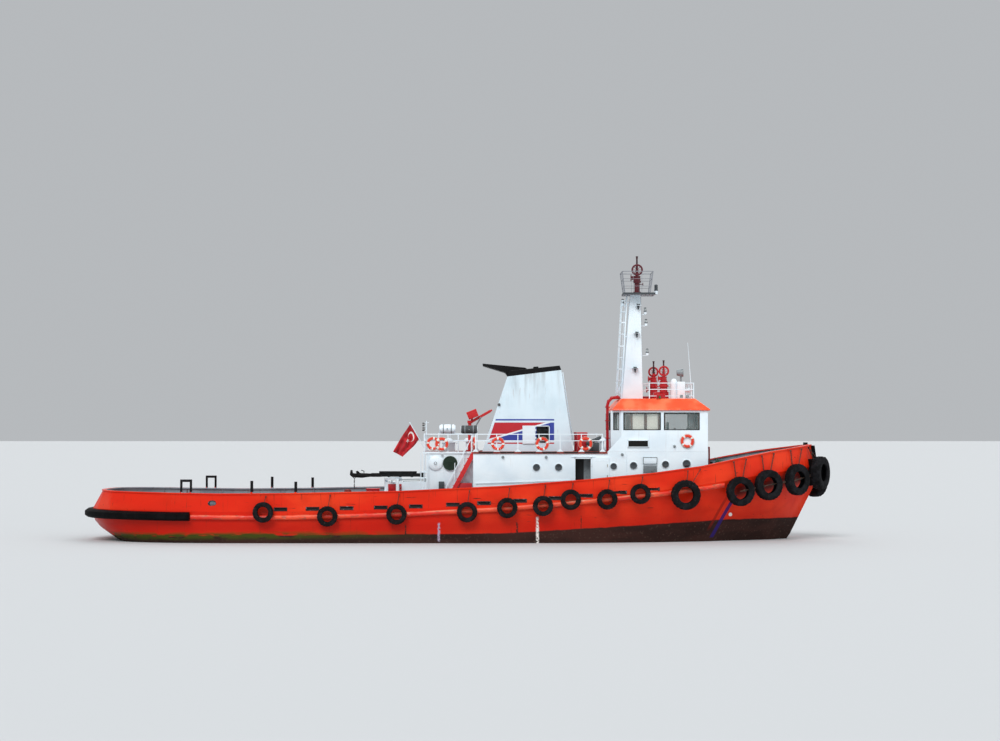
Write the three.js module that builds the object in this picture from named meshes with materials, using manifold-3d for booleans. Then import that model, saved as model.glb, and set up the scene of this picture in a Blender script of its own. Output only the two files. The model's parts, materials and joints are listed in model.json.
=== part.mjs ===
// Harbour and sea tug with fire monitors, afloat. Millimetres, +X to the bow, +Y to port, +Z up.
// The origin is on the centreline amidships, at the waterline.
import * as THREE from 'three'
import Module from 'manifold-3d'
import { mergeVertices } from 'three/addons/utils/BufferGeometryUtils.js'

const wasm = await Module()
wasm.setup()

// Driving dimensions
const SEAT_GAP = 0.3
const SINK = 40
const PLATE = 90
const SHAFT_Z = -2550
const STEM_X = 18300
const KEEL_BOTTOM = -3900
const HOUSE_SIDE_Y = 3000
const HOUSE_AFT_Y = 2100
const HOUSE_STEP_X = 640
const HOUSE_FRONT_X = 12550
const HOUSE_AFT_X = -1770
const BOAT_DECK_Z = 4540
const DECK_PLATE = 100
const WHEELHOUSE_AFT_X = 7650
const WINDOW_SILL_Z = 5640
const WINDOW_TOP_Z = 6530
const ROOF_EAVE_Z = 6630
const ROOF_TOP_Z = 7250
const DOOR_THICK = 50
const DOOR_CLEAR = 6
const DECK_FLUSH_X = 7450

// Small helpers for places, solids and meshes
const at = (x, y, z) => new THREE.Vector3(x, y, z)
const UP = at(0, 0, 1)

function solid(geometry) {
  const bare = geometry.index ? geometry.toNonIndexed() : geometry.clone()
  for (const name of Object.keys(bare.attributes)) {
    if (name !== 'position') bare.deleteAttribute(name)
  }
  const merged = mergeVertices(bare, 1e-3)
  return new wasm.Manifold(new wasm.Mesh({
    numProp: 3,
    vertProperties: new Float32Array(merged.attributes.position.array),
    triVerts: new Uint32Array(merged.index.array)
  }))
}

function geometryOf(manifold) {
  const mesh = manifold.getMesh()
  const geometry = new THREE.BufferGeometry()
  geometry.setAttribute('position', new THREE.BufferAttribute(new Float32Array(mesh.vertProperties), 3))
  geometry.setIndex(new THREE.BufferAttribute(new Uint32Array(mesh.triVerts), 1))
  return geometry
}

const join = (...solids) => solids.reduce((whole, next) => whole.add(next))

function boxGeometry(x0, x1, y0, y1, z0, z1) {
  return new THREE.BoxGeometry(x1 - x0, y1 - y0, z1 - z0)
    .translate((x0 + x1) / 2, (y0 + y1) / 2, (z0 + z1) / 2)
}

const box = (...sides) => solid(boxGeometry(...sides))

// A straight rod or cone from one point to another
function rodGeometry(from, to, radius, sides = 10, endRadius = radius) {
  const along = to.clone().sub(from)
  const rod = new THREE.CylinderGeometry(endRadius, radius, along.length(), sides)
  const turn = new THREE.Quaternion().setFromUnitVectors(at(0, 1, 0), along.clone().normalize())
  return rod.applyQuaternion(turn).translate(...from.clone().add(to).multiplyScalar(0.5).toArray())
}

const rod = (...values) => solid(rodGeometry(...values))

// Rods that stand upright and rods that lie athwart, and a box on one side, with y counted from the centreline
const upright = (x, y, z0, z1, radius, sides = 10, endRadius = radius) =>
  rod(at(x, y, z0), at(x, y, z1), radius, sides, endRadius)
const athwart = (x, z, y0, y1, radius, sides = 10, endRadius = radius) =>
  rod(at(x, y0, z), at(x, y1, z), radius, sides, endRadius)
const sideBox = (side, x0, x1, near, far, z0, z1) =>
  box(x0, x1, Math.min(side * near, side * far), Math.max(side * near, side * far), z0, z1)

// A bar of flat rectangular section between two points, its wide side across the given direction
function bar(from, to, width, depth, wideAlong = at(0, 1, 0)) {
  const along = to.clone().sub(from)
  const length = along.length()
  const z = along.normalize()
  const x = wideAlong.clone().sub(z.clone().multiplyScalar(wideAlong.dot(z))).normalize()
  const y = z.clone().cross(x)
  const turn = new THREE.Matrix4().makeBasis(x, y, z)
  const middle = from.clone().add(to).multiplyScalar(0.5)
  return solid(new THREE.BoxGeometry(width, depth, length).applyMatrix4(turn).translate(...middle.toArray()))
}

// Rods end to end through a list of points, each run a little past its bends so that they join
function pipe(points, radius, sides = 6) {
  return join(...points.slice(1).map((point, i) => {
    const past = point.clone().sub(points[i]).setLength(radius * 0.8)
    const start = i === 0 ? points[i] : points[i].clone().sub(past)
    const end = i === points.length - 2 ? point : point.clone().add(past)
    return rod(start, end, radius, sides)
  }))
}

// An outline in the XZ plane, extruded across Y
function acrossY(outline, y0, y1) {
  const shape = new THREE.Shape(outline.map(([x, z]) => new THREE.Vector2(x, z)))
  const body = new THREE.ExtrudeGeometry(shape, { depth: y1 - y0, bevelEnabled: false })
  return solid(body.rotateX(Math.PI / 2).translate(0, y1, 0))
}

// An outline in the XY plane, extruded up Z
function upZ(outline, z0, z1) {
  const shape = new THREE.Shape(outline.map(([x, y]) => new THREE.Vector2(x, y)))
  return solid(new THREE.ExtrudeGeometry(shape, { depth: z1 - z0, bevelEnabled: false }).translate(0, 0, z0))
}

// A turned shape: its profile closes on itself or on the axis, which points along the given direction
function turned(profile, centre, axis, segments = 14) {
  const lathe = new THREE.LatheGeometry(profile.map(([r, h]) => new THREE.Vector2(r, h)), segments)
  lathe.applyQuaternion(new THREE.Quaternion().setFromUnitVectors(at(0, 1, 0), axis.clone().normalize()))
  return solid(lathe.translate(...centre.toArray()))
}

// A closed skin over rings of points, each ring with the same count, its ends closed by flat fans
function loft(rings) {
  const count = rings[0].length
  const positions = rings.flat().flatMap(point => point.toArray())
  const index = []
  for (let r = 0; r < rings.length - 1; r++) {
    for (let k = 0; k < count; k++) {
      const a = r * count + k
      const b = r * count + (k + 1) % count
      index.push(a, b, b + count, a, b + count, a + count)
    }
  }
  const last = (rings.length - 1) * count
  const flat = ring => {
    const u = ring[1].clone().sub(ring[0]).normalize()
    const n = u.clone().cross(ring[2].clone().sub(ring[0])).normalize()
    const v = n.clone().cross(u)
    return ring.map(p => new THREE.Vector2(p.dot(u), p.dot(v)))
  }
  const cap = (ring, base, flip) => {
    const outline = flat(ring)
    const turnedOver = THREE.ShapeUtils.isClockWise(outline)
    for (const [a, b, c] of THREE.ShapeUtils.triangulateShape(outline, [])) {
      const swap = flip !== turnedOver
      index.push(base + a, base + (swap ? c : b), base + (swap ? b : c))
    }
  }
  cap(rings[0], 0, true)
  cap(rings[rings.length - 1], last, false)
  const geometry = new THREE.BufferGeometry()
  geometry.setAttribute('position', new THREE.Float32BufferAttribute(positions, 3))
  geometry.setIndex(index)
  return geometry
}

// A loft whose faces are turned to point outwards
function loftSolid(rings) {
  const first = solid(loft(rings))
  return first.volume() > 0 ? first : solid(loft(rings.map(ring => [...ring].reverse())))
}

const mirrored = manifold => manifold.mirror([0, 1, 0])
const metal = (colour, roughness = 0.5, metalness = 0.1) =>
  new THREE.MeshStandardMaterial({ color: colour, roughness, metalness })
const paints = {
  orange: metal(0xe8401c),
  white: metal(0xe9ebea),
  black: metal(0x17181a, 0.6),
  rubber: metal(0x1b1c1d, 0.9, 0),
  red: metal(0xb3191d),
  bronze: metal(0xb08a4a, 0.35, 0.9),
  grey: metal(0x8b9194),
  green: metal(0x2c6a4a),
  wood: metal(0x7a4a28, 0.7, 0),
  cloth: metal(0xc8102e, 0.9, 0)
}
const tug = new THREE.Group()

function add(name, manifold, material) {
  const mesh = new THREE.Mesh(geometryOf(manifold), material)
  mesh.name = name
  tug.add(mesh)
  return mesh
}

// Hull stations. half: deck edge half-breadth; deck: deck height; top: bulwark height line;
// lean: how far the bulwark's top stands inboard; side, bilge, floor: half-breadths at
// sideZ, bilgeZ and keelZ.
const STATIONS = [
  [-19060, 700, 1660, 2600, 560, 500, 1420, 380, 1180, 200, 1050],
  [-18900, 1700, 1655, 2600, 500, 1450, 1300, 1150, 1020, 600, 880],
  [-18500, 2650, 1650, 2590, 380, 2350, 1100, 1900, 760, 1000, 560],
  [-17700, 3500, 1645, 2580, 230, 3250, 850, 2650, 330, 1300, 60],
  [-16400, 4080, 1630, 2555, 130, 3950, 550, 3250, -200, 1500, -560],
  [-14400, 4430, 1600, 2510, 80, 4380, 300, 3800, -800, 1700, -1060],
  [-12000, 4560, 1555, 2475, 60, 4550, 100, 4150, -1400, 1700, -2000],
  [-8500, 4600, 1580, 2500, 50, 4600, 0, 4400, -2100, 1900, -2900],
  [-3000, 4600, 1685, 2610, 50, 4600, 0, 4450, -2500, 2500, -3350],
  [2000, 4600, 1925, 2850, 40, 4560, 0, 4350, -2500, 2500, -3400],
  [6300, 4570, 2250, 3180, 30, 4350, 0, 3950, -2400, 2000, -3400],
  [9650, 4400, 2570, 3500, 20, 3750, 0, 3150, -2200, 1300, -3350],
  [12200, 4030, 2900, 3850, 10, 2900, 0, 2250, -1900, 800, -3150],
  [14100, 3540, 3200, 4240, 20, 2000, 50, 1350, -1500, 400, -2600],
  [15800, 2820, 3440, 4560, 40, 1150, 200, 650, -700, 200, -1500],
  [17100, 1980, 3620, 4740, 90, 560, 1150, 280, 700, 120, 250],
  [17950, 1120, 3740, 4850, 160, 240, 2500, 150, 2250, 100, 1950],
  [STEM_X, 330, 3790, 4900, 120, 140, 3100, 120, 2850, 90, 2620]
].map(([x, half, deck, top, lean, side, sideZ, bilge, bilgeZ, floor, keelZ]) =>
  ({ x, half, deck, top, lean, side, sideZ, bilge, bilgeZ, floor, keelZ }))

const stationValue = (x, column) => {
  const i = Math.max(0, Math.min(STATIONS.length - 2, STATIONS.findIndex(s => s.x >= x) - 1))
  const [a, b] = [STATIONS[i], STATIONS[i + 1]]
  const part = Math.min(1, Math.max(0, (x - a.x) / (b.x - a.x)))
  return a[column] + (b[column] - a[column]) * part
}

// Half-breadth of the shell at a place along the length and a height above the side line
function shellY(x, z) {
  const [deck, sideZ] = [stationValue(x, 'deck'), stationValue(x, 'sideZ')]
  const [half, side] = [stationValue(x, 'half'), stationValue(x, 'side')]
  const part = Math.min(1, Math.max(0, (z - sideZ) / (deck - sideZ)))
  return side + (half - side) * part
}

// Hull with bar keel, skeg and stern frame, and the bow thruster's tunnel through it
const halfRing = s => [
  [0, s.deck], [s.half, s.deck], [s.side, s.sideZ], [s.bilge, s.bilgeZ], [s.floor, s.keelZ], [0, s.keelZ]
].map(([y, z]) => at(s.x, -y, z))
const SKEG_AFT_X = -13900
const KEEL_HALF = 160
const SHOE_AFT_X = -17450
const TUNNEL = { x: 13000, z: -1500, radius: 420 }
const BOSS_AFT_X = -14150
const KEEL_OUTLINE = [
  [SKEG_AFT_X, KEEL_BOTTOM], [5000, KEEL_BOTTOM], [12000, KEEL_BOTTOM + 350], [13600, -3000], [12500, -2500],
  [-8500, -2500], [SKEG_AFT_X, -900]
]
const keel = acrossY(KEEL_OUTLINE, -KEEL_HALF, KEEL_HALF)
const SHOE_TOP = KEEL_BOTTOM + 100 - SEAT_GAP
const shoe = box(SHOE_AFT_X, SKEG_AFT_X + 400, -140, 140, KEEL_BOTTOM, SHOE_TOP)
const boss = rod(at(SKEG_AFT_X + 900, 0, SHAFT_Z), at(BOSS_AFT_X, 0, SHAFT_Z), 300, 16, 240)
const TRUNK_LOW = -1050
const rudderTrunk = rod(at(-16500, 0, TRUNK_LOW), at(-16500, 0, -300), 200, 16)
const halfHull = loftSolid(STATIONS.map(halfRing))
const bareHull = join(halfHull, mirrored(halfHull))
const tunnel = rod(at(TUNNEL.x, -4000, TUNNEL.z), at(TUNNEL.x, 4000, TUNNEL.z), TUNNEL.radius, 20)
const thrusterLeg = rod(at(TUNNEL.x, 60, TUNNEL.z), at(TUNNEL.x, 60, TUNNEL.z + TUNNEL.radius + 60), 70, 8)
const POD_END = -100
const thrusterPod = rod(at(TUNNEL.x, POD_END, TUNNEL.z), at(TUNNEL.x, 260, TUNNEL.z), 110, 12, 70)
const hull = join(bareHull, keel, shoe, boss, rudderTrunk).subtract(tunnel).add(join(thrusterLeg, thrusterPod))

// Mooring bitts, one pair to a row, and the capstan and hatch of the after deck, all welded to the deck
const DECK_BITTS = [
  { x: -15900, y: 3300, yaw: 0 }, { x: -10200, y: 3750, yaw: 0 }, { x: 15200, y: 2150, yaw: 23 }
]
const DECK_BITT = { pitch: 320, radius: 105, high: 540, head: 135, bedLong: 550, bedHalf: 190 }
const CAPSTAN_X = -17000
const DECK_SUNK = 60
const AFTER_HATCH = { x: -7300, y: 2000, half: 450, high: 350 }
const deckAt = x => stationValue(x, 'deck')
function deckBitt({ x, y, yaw }) {
  const b = DECK_BITT
  const posts = [-b.pitch, b.pitch].map(along => join(
    upright(along, 0, -DECK_SUNK, b.high, b.radius, 6), upright(along, 0, b.high - 10, b.high + 40, b.head, 6)))
  const pair = join(box(-b.bedLong, b.bedLong, -b.bedHalf, b.bedHalf, -DECK_SUNK, 45), ...posts)
  return pair.rotate([0, 0, yaw]).translate([x, -y, deckAt(x)])
}
const capstan = turned([[0, -DECK_SUNK], [340, -DECK_SUNK], [340, 80], [240, 120], [170, 350], [190, 550],
  [265, 650], [265, 720], [0, 720]], at(CAPSTAN_X, 0, deckAt(CAPSTAN_X)), UP, 10)
function afterHatch() {
  const { x, y, half, high } = AFTER_HATCH
  return box(x - half, x + half, y - half, y + half, deckAt(x) - DECK_SUNK, deckAt(x) + high)
}
const stbdBitts = join(...DECK_BITTS.map(deckBitt))
add('hull', join(hull, stbdBitts, mirrored(stbdBitts), capstan, afterHatch()), paints.orange)

// Trims a piece by its neighbours, each moved a hair towards the piece, so that a gap is left between them
const trimmed = (piece, moves, ...neighbours) => neighbours.reduce((left, neighbour) =>
  moves.reduce((rest, move) => rest.subtract(neighbour.translate(move.toArray())), left), piece)
const TO_STBD = at(0, -SEAT_GAP, 0)
const TO_PORT = at(0, SEAT_GAP, 0)
const FORWARD = at(SEAT_GAP, 0, 0)
const AFTWARD = at(-SEAT_GAP, 0, 0)
const UPWARD = at(0, 0, 2 * SEAT_GAP)

// Everything below the deck line, so that what stands on the deck is trimmed to its sheer
const deckLine = STATIONS.map(s => [s.x, s.deck + SEAT_GAP])
const belowDeck = acrossY([...deckLine, [19500, 3790 + SEAT_GAP], [19500, -300], [-19500, -300],
  [-19500, 1660 + SEAT_GAP]], -6000, 6000)
const onDeck = manifold => manifold.subtract(belowDeck)

// A run round the deck edge: each row is a station's place on one side, with its inward direction in plan
const LAST_ROW = STATIONS.length - 1
function edgePlace(i, side) {
  if (i < 0 || i > LAST_ROW) return edgePlace(Math.min(LAST_ROW, Math.max(0, i)), -side)
  return at(STATIONS[i].x, side * STATIONS[i].half, 0)
}
function inwardAt(i, side) {
  const along = edgePlace(i + 1, side).sub(edgePlace(i - 1, side)).normalize()
  return at(side * along.y, -side * along.x, 0)
}
function edgeRun(rows, trim = 0.2) {
  const points = rows.map(({ i, side }) => edgePlace(i, side))
  const end = rows.length - 1
  return rows.map(({ i, side }, k) => {
    const towards = k === 0 ? points[1] : k === end ? points[end - 1] : points[k]
    const shift = towards.clone().sub(points[k]).setLength(k === 0 || k === end ? trim : 0)
    return { s: STATIONS[i], point: points[k].clone().add(shift), inward: inwardAt(i, side) }
  })
}
const rowsOf = (from, to, side) => Array.from({ length: to - from + 1 }, (_, k) => ({ i: from + k, side }))
const sweepRound = (run, section) => loftSolid(run.map(({ s, point, inward }) =>
  section(s).map(([inboard, z]) => point.clone().add(inward.clone().multiplyScalar(inboard)).setZ(z))))

// Bulwarks: plate with a capping rail, trimmed to the deck
const CAP_DEEP = 60
const CAP_OUT = 45
const CAP_IN = 170
const bulwarkSection = ({ deck, top, lean }) => [
  [0, deck - SINK], [lean, top - CAP_DEEP], [lean - CAP_OUT, top - CAP_DEEP], [lean - CAP_OUT, top],
  [lean + CAP_IN, top], [lean + CAP_IN, top - CAP_DEEP], [lean + PLATE, top - CAP_DEEP], [PLATE, deck - SINK]
]
const STERN_ROW = 5
const BOW_ROW = 12
const sternRows = [...rowsOf(0, STERN_ROW, 1).reverse(), ...rowsOf(0, STERN_ROW, -1)]
const bowRows = [...rowsOf(BOW_ROW, LAST_ROW, -1), ...rowsOf(BOW_ROW, LAST_ROW, 1).reverse()]
const bulwarkStern = onDeck(sweepRound(edgeRun(sternRows), bulwarkSection))
const bulwarkBow = onDeck(sweepRound(edgeRun(bowRows), bulwarkSection))

// Freeing ports along the deck edge, the mooring pipe's hole and the posts on the after rail
const FREEING_PORTS = [-8950, -7350, -5650, -3950, -2200, -350, 1200, 3000, 4750, 6300, 8000, 9650]
const PORT_LONG = 620
const PORT_HIGH = 130
const MOORING_HOLE = { x: -12350, z: 1980, long: 190, high: 120 }
const RAIL_POSTS = [{ x: -10400, high: 620 }, { x: -8200, high: 560 }]
// Stays that brace the bulwark from the deck, between the freeing ports
const STAYS = [
  -13100, -11600, -9750, -8150, -6500, -4800, -3080, -1280, 430, 2100, 3880, 5530, 7150, 8830, 10500
]
const STAY = { thick: 16, foot: 420, toe: 110, head: 60 }
function bulwarkStay(x) {
  const [deck, top, half, lean] = ['deck', 'top', 'half', 'lean'].map(column => stationValue(x, column))
  const face = half - PLATE
  const head = top - CAP_DEEP - 20
  const outline = [[face - STAY.foot, deck - 20], [face - STAY.foot, deck + STAY.toe],
    [face - lean - STAY.head, head], [face - lean + 20, head], [face + 20, deck - 20]]
  return upZ(outline.map(([y, z]) => [-y, z]), 0, STAY.thick)
    .transform(new THREE.Matrix4().set(0, 0, 1, x, 1, 0, 0, 0, 0, 1, 0, 0, 0, 0, 0, 1).toArray())
}
// Staple of two upright horns and a bar, standing on the quarter's capping rail
const STAPLE = { x: -13700, long: 480, high: 640 }
function staple(side) {
  const y = side * (stationValue(STAPLE.x, 'half') - stationValue(STAPLE.x, 'lean') - 70)
  const foot = stationValue(STAPLE.x, 'top') - 30
  const [aft, fore] = [STAPLE.x - STAPLE.long / 2, STAPLE.x + STAPLE.long / 2]
  return pipe([at(aft, y + side * 20, foot), at(aft, y, foot + STAPLE.high), at(fore, y, foot + STAPLE.high),
    at(fore, y, foot)], 65)
}
function sideBulwark() {
  let wall = onDeck(sweepRound(edgeRun(rowsOf(STERN_ROW, BOW_ROW, -1)), bulwarkSection))
  for (const x of FREEING_PORTS) {
    const z = deckAt(x) + 50
    wall = wall.subtract(box(x - PORT_LONG / 2, x + PORT_LONG / 2, -4900, -3700, z, z + PORT_HIGH))
  }
  const pipeHole = new THREE.CylinderGeometry(MOORING_HOLE.high, MOORING_HOLE.high, 800, 12)
    .scale(MOORING_HOLE.long / MOORING_HOLE.high, 1, 1).translate(MOORING_HOLE.x, -4500, MOORING_HOLE.z)
  wall = wall.subtract(solid(pipeHole))
  for (const post of RAIL_POSTS) {
    const top = stationValue(post.x, 'top')
    const y = -(stationValue(post.x, 'half') - stationValue(post.x, 'lean') - 70)
    wall = wall.add(rod(at(post.x, y, top - 30), at(post.x, y, top + post.high), 75, 10))
  }
  return join(wall, staple(-1), onDeck(join(...STAYS.map(bulwarkStay))))
}
const bulwarkSide = sideBulwark()

add('bulwark_stern', bulwarkStern, paints.orange)
add('bulwark_stbd', bulwarkSide, paints.orange)
add('bulwark_port', mirrored(bulwarkSide), paints.orange)
add('bulwark_bow', bulwarkBow, paints.orange)

// A fender tyre, its axis along the given direction
function tyre(centre, axis, outer, thick, segments = 10) {
  const [r, h] = [outer / 2, thick / 2]
  const bead = r * 0.52
  return turned([[bead, -h * 0.8], [r * 0.88, -h], [r, 0], [r * 0.88, h], [bead, h * 0.8], [bead, -h * 0.8]],
    centre, axis, segments)
}

// Rubbing belt along the shell, with the side tyres that lie against it
const BELT_OUT = 160
const BELT_ROWS = [
  { x: -13450, z: 1290 }, { x: -12000, z: 1280 }, { x: -8500, z: 1280 }, { x: -3000, z: 1420 },
  { x: 2000, z: 1690 },
  { x: 6300, z: 2060 }, { x: 9650, z: 2390 }, { x: 12200, z: 2710 }, { x: 13300, z: 2870 }
]
const BELT_SECTION = [[-60, -125], [110, -110], [BELT_OUT, -50], [BELT_OUT, 50], [110, 110], [-60, 125]]
const SIDE_TYRE = 1050
const SIDE_TYRE_THICK = 300
const SIDE_TYRES = [
  { x: -9790, z: 1550 }, { x: -6590, z: 1350 }, { x: -3150, z: 1450 }, { x: 360, z: 1560 },
  { x: 2360, z: 1770 }, { x: 4140, z: 1870 }, { x: 5520, z: 2180 }, { x: 7340, z: 2190 },
  { x: 9000, z: 2460 }, { x: 11290, z: 2400, outer: 1540 }
]
function beltZ(x) {
  const i = Math.max(1, BELT_ROWS.findIndex(row => row.x >= x))
  const [a, b] = [BELT_ROWS[i - 1], BELT_ROWS[i]]
  return a.z + (b.z - a.z) * (x - a.x) / (b.x - a.x)
}
function beltAndTyres() {
  const bareBelt = loftSolid(BELT_ROWS.map(row =>
    BELT_SECTION.map(([out, up]) => at(row.x, -(shellY(row.x, row.z) + out), row.z + up))))
  const tyres = SIDE_TYRES.map(row => {
    const outer = row.outer ?? SIDE_TYRE
    const yaw = Math.atan((stationValue(row.x - 600, 'half') - stationValue(row.x + 600, 'half')) / 1200)
    const y = -(shellY(row.x, beltZ(row.x)) + BELT_OUT + SIDE_TYRE_THICK / 2 - 25)
    return tyre(at(row.x, y, row.z), at(Math.sin(yaw), -Math.cos(yaw), 0), outer, SIDE_TYRE_THICK)
  })
  return join(trimmed(bareBelt, [TO_STBD], hull), ...tyres)
}
const belt = beltAndTyres()
add('fender_belt_stbd', belt, paints.rubber)
add('fender_belt_port', mirrored(belt), paints.rubber)

// Rubber fender wrapped round the stern
// It ends short of the first station forward of the stern, and climbs a little towards the transom
const STERN_FENDER = { z: 1330, climb: 0.018, short: 1500 }
const sternFenderSection = ({ x }) => {
  const middle = STERN_FENDER.z + STERN_FENDER.climb * Math.max(0, STATIONS[STERN_ROW].x - x)
  return [[70, -220], [-250, -212], [-400, -100], [-400, 110], [-250, 215], [70, 220]]
    .map(([inboard, up]) => [inboard, middle + up])
}
const fenderRows = [...rowsOf(0, STERN_ROW + 1, 1).reverse(), ...rowsOf(0, STERN_ROW + 1, -1)]
const sternFender = sweepRound(edgeRun(fenderRows, STERN_FENDER.short), sternFenderSection)
add('stern_fender', trimmed(sternFender, [AFTWARD, TO_STBD, TO_PORT], hull), paints.rubber)

// Bow fenders: a rubber pad round the stem, and tyres hung round each shoulder on a chain
const STEM_PAD = { low: 2750, high: 4150, thick: 200 }
function stemPad() {
  const low = [...rowsOf(LAST_ROW - 1, LAST_ROW, -1), ...rowsOf(LAST_ROW - 1, LAST_ROW, 1).reverse()]
  const lowSection = () => [[60, STEM_PAD.low], [-STEM_PAD.thick, STEM_PAD.low + 60],
    [-STEM_PAD.thick, STEM_PAD.high - 60], [60, STEM_PAD.high]]
  const top = [...rowsOf(LAST_ROW, LAST_ROW, -1), ...rowsOf(LAST_ROW, LAST_ROW, 1)]
  const topSection = s => [[60, STEM_PAD.high - 200], [-STEM_PAD.thick, STEM_PAD.high - 200],
    [s.lean - STEM_PAD.thick, s.top - 60], [s.lean + 30, s.top - 60]]
  return join(sweepRound(edgeRun(low, 60), lowSection), sweepRound(edgeRun(top, 0), topSection))
}
const pad = trimmed(stemPad(), [FORWARD, TO_STBD, TO_PORT, UPWARD], hull, bulwarkBow)
add('stem_fender', pad, paints.rubber)

const BOW_TYRES = [
  { x: 14100, z: 2560, outer: 1520, thick: 380 },
  { x: 15600, z: 2860, outer: 1580, thick: 400 },
  { x: 17200, z: 3110, outer: 1640, thick: 420 }
]
const NOSE_TYRE = { x: 18580, yaw: 60, outer: 1740, thick: 500, stbdZ: 3430, portZ: 2980 }
const CHAIN_RADIUS = 60
const PRESS = 0.7

// The place along the length where a tyre's axis points, found so that its inner face bears on the hull's edge
function bearing(row, axis, outward) {
  const reach = Math.max(...STATIONS.map((s, i) =>
    at(s.x, -s.half, 0).sub(inwardAt(i, -1).multiplyScalar(outward)).dot(axis)))
  const y = (reach - PRESS + row.thick / 2 - row.x * axis.x) / axis.y
  return at(row.x, y, row.z)
}
function bowTyres(noseZ) {
  const places = BOW_TYRES.map(row => {
    const slope = (stationValue(row.x - 700, 'half') - stationValue(row.x + 600, 'half')) / 1300
    const axis = at(Math.sin(Math.atan(slope)), -Math.cos(Math.atan(slope)), 0)
    return { ...row, centre: bearing(row, axis, 0), axis }
  })
  const yaw = THREE.MathUtils.degToRad(NOSE_TYRE.yaw)
  const noseAxis = at(Math.sin(yaw), -Math.cos(yaw), 0)
  const nose = { ...NOSE_TYRE, z: noseZ, axis: noseAxis }
  const all = [...places, { ...nose, centre: bearing(nose, noseAxis, STEM_PAD.thick) }]
  const chain = all.slice(1).map((place, i) => rod(all[i].centre, place.centre, CHAIN_RADIUS, 6))
  const tyres = all.map(place => tyre(place.centre, place.axis, place.outer, place.thick, 12))
  return join(...chain, ...tyres)
}
add('bow_tyres_stbd', bowTyres(NOSE_TYRE.stbdZ), paints.rubber)
add('bow_tyres_port', mirrored(bowTyres(NOSE_TYRE.portZ)), paints.rubber)

// Deckhouse: hollow, its walls split where the plating meets
const WALL = 80
const WALL_TOP = BOAT_DECK_Z - DECK_PLATE - SEAT_GAP
const HOUSE_IN = HOUSE_SIDE_Y - WALL
const SIDE_DOOR = { aft: 5820, fore: 6600, low: 2480, top: 4190, hingeX: 6660, wide: 880 }
const KNUCKLE = 22

// Hinge line of a door on a flat wall: knuckles that stay with the wall, and the leaf with its own
const KNUCKLE_HIGH = 90
function wallKnuckle(x, y, z, towardsWall) {
  const pin = rod(at(x, y, z), at(x, y, z + KNUCKLE_HIGH), KNUCKLE, 8)
  const [near, far] = [Math.min(y, y + towardsWall), Math.max(y, y + towardsWall)]
  return pin.add(box(x - 12, x + 12, near, far, z, z + KNUCKLE_HIGH))
}
function doorLeaf(x, y, direction, wide, low, high, knuckles) {
  const [x0, x1] = direction > 0 ? [x + 30, x + wide] : [x - wide, x - 30]
  const [k0, k1] = direction > 0 ? [x, x + 32] : [x - 32, x]
  let leaf = box(x0, x1, y - DOOR_THICK / 2, y + DOOR_THICK / 2, low, high)
  for (const z of knuckles) {
    const base = z + KNUCKLE_HIGH + SEAT_GAP
    leaf = leaf.add(rod(at(x, y, base), at(x, y, base + KNUCKLE_HIGH), KNUCKLE, 8))
      .add(box(k0, k1, y - 12, y + 12, base, base + KNUCKLE_HIGH))
  }
  return leaf
}
const HINGE_OFF = DOOR_CLEAR + DOOR_THICK / 2
const SIDE_KNUCKLES = [2700, 3800]
const sideHingeY = -(HOUSE_SIDE_Y + HINGE_OFF)
const FANS = [{ x: -1300, z: 3950, radius: 350, proud: 60 }, { x: -550, z: 3950, radius: 360, proud: 45 }]
const HOSE_BOX = [-1120, -860, -HOUSE_AFT_Y - 310, -HOUSE_AFT_Y + 10, 2590, 3010]
function deckhouseSide() {
  const long = box(HOUSE_STEP_X, HOUSE_FRONT_X, -HOUSE_SIDE_Y, -HOUSE_IN, 1000, WALL_TOP)
    .subtract(box(SIDE_DOOR.aft, SIDE_DOOR.fore, -3100, -2800, SIDE_DOOR.low, SIDE_DOOR.top))
  const step = box(HOUSE_STEP_X, HOUSE_STEP_X + WALL, -HOUSE_SIDE_Y, -HOUSE_AFT_Y + WALL, 1000, WALL_TOP)
  const narrow = box(HOUSE_AFT_X, HOUSE_STEP_X + WALL, -HOUSE_AFT_Y, -HOUSE_AFT_Y + WALL, 1000, WALL_TOP)
  const knuckles = SIDE_KNUCKLES.map(z => wallKnuckle(SIDE_DOOR.hingeX, sideHingeY, z, HINGE_OFF + 10))
  const fans = FANS.map(({ x, z, radius, proud }) =>
    rod(at(x, -HOUSE_AFT_Y + 10, z), at(x, -HOUSE_AFT_Y - proud, z), radius, 12))
  return join(onDeck(join(long, step, narrow)), box(...HOSE_BOX), ...knuckles, ...fans)
}
const houseSide = deckhouseSide()
add('deckhouse_side_stbd', houseSide, paints.white)
add('deckhouse_side_port', mirrored(houseSide), paints.white)
const frontIn = HOUSE_IN - SEAT_GAP
const houseFront = box(HOUSE_FRONT_X - WALL, HOUSE_FRONT_X, -frontIn, frontIn, 1000, WALL_TOP)
add('deckhouse_front', onDeck(houseFront), paints.white)
const aftIn = HOUSE_AFT_Y - WALL - SEAT_GAP
const TOW_PIN = { x: -2050, low: 3180, high: 3420 }
const pinPlate = (z0, z1) => rod(at(TOW_PIN.x, 0, z0), at(TOW_PIN.x, 0, z1), 150, 12)
  .add(box(TOW_PIN.x, HOUSE_AFT_X + 10, -150, 150, z0, z1))
add('deckhouse_aft', join(onDeck(box(HOUSE_AFT_X, HOUSE_AFT_X + WALL, -aftIn, aftIn, 1000, WALL_TOP)),
  pinPlate(TOW_PIN.low - 90, TOW_PIN.low), pinPlate(TOW_PIN.high, TOW_PIN.high + 90)), paints.white)
const leafSizes = [SIDE_DOOR.wide, SIDE_DOOR.low - 50, SIDE_DOOR.top + 50, SIDE_KNUCKLES]
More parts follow.
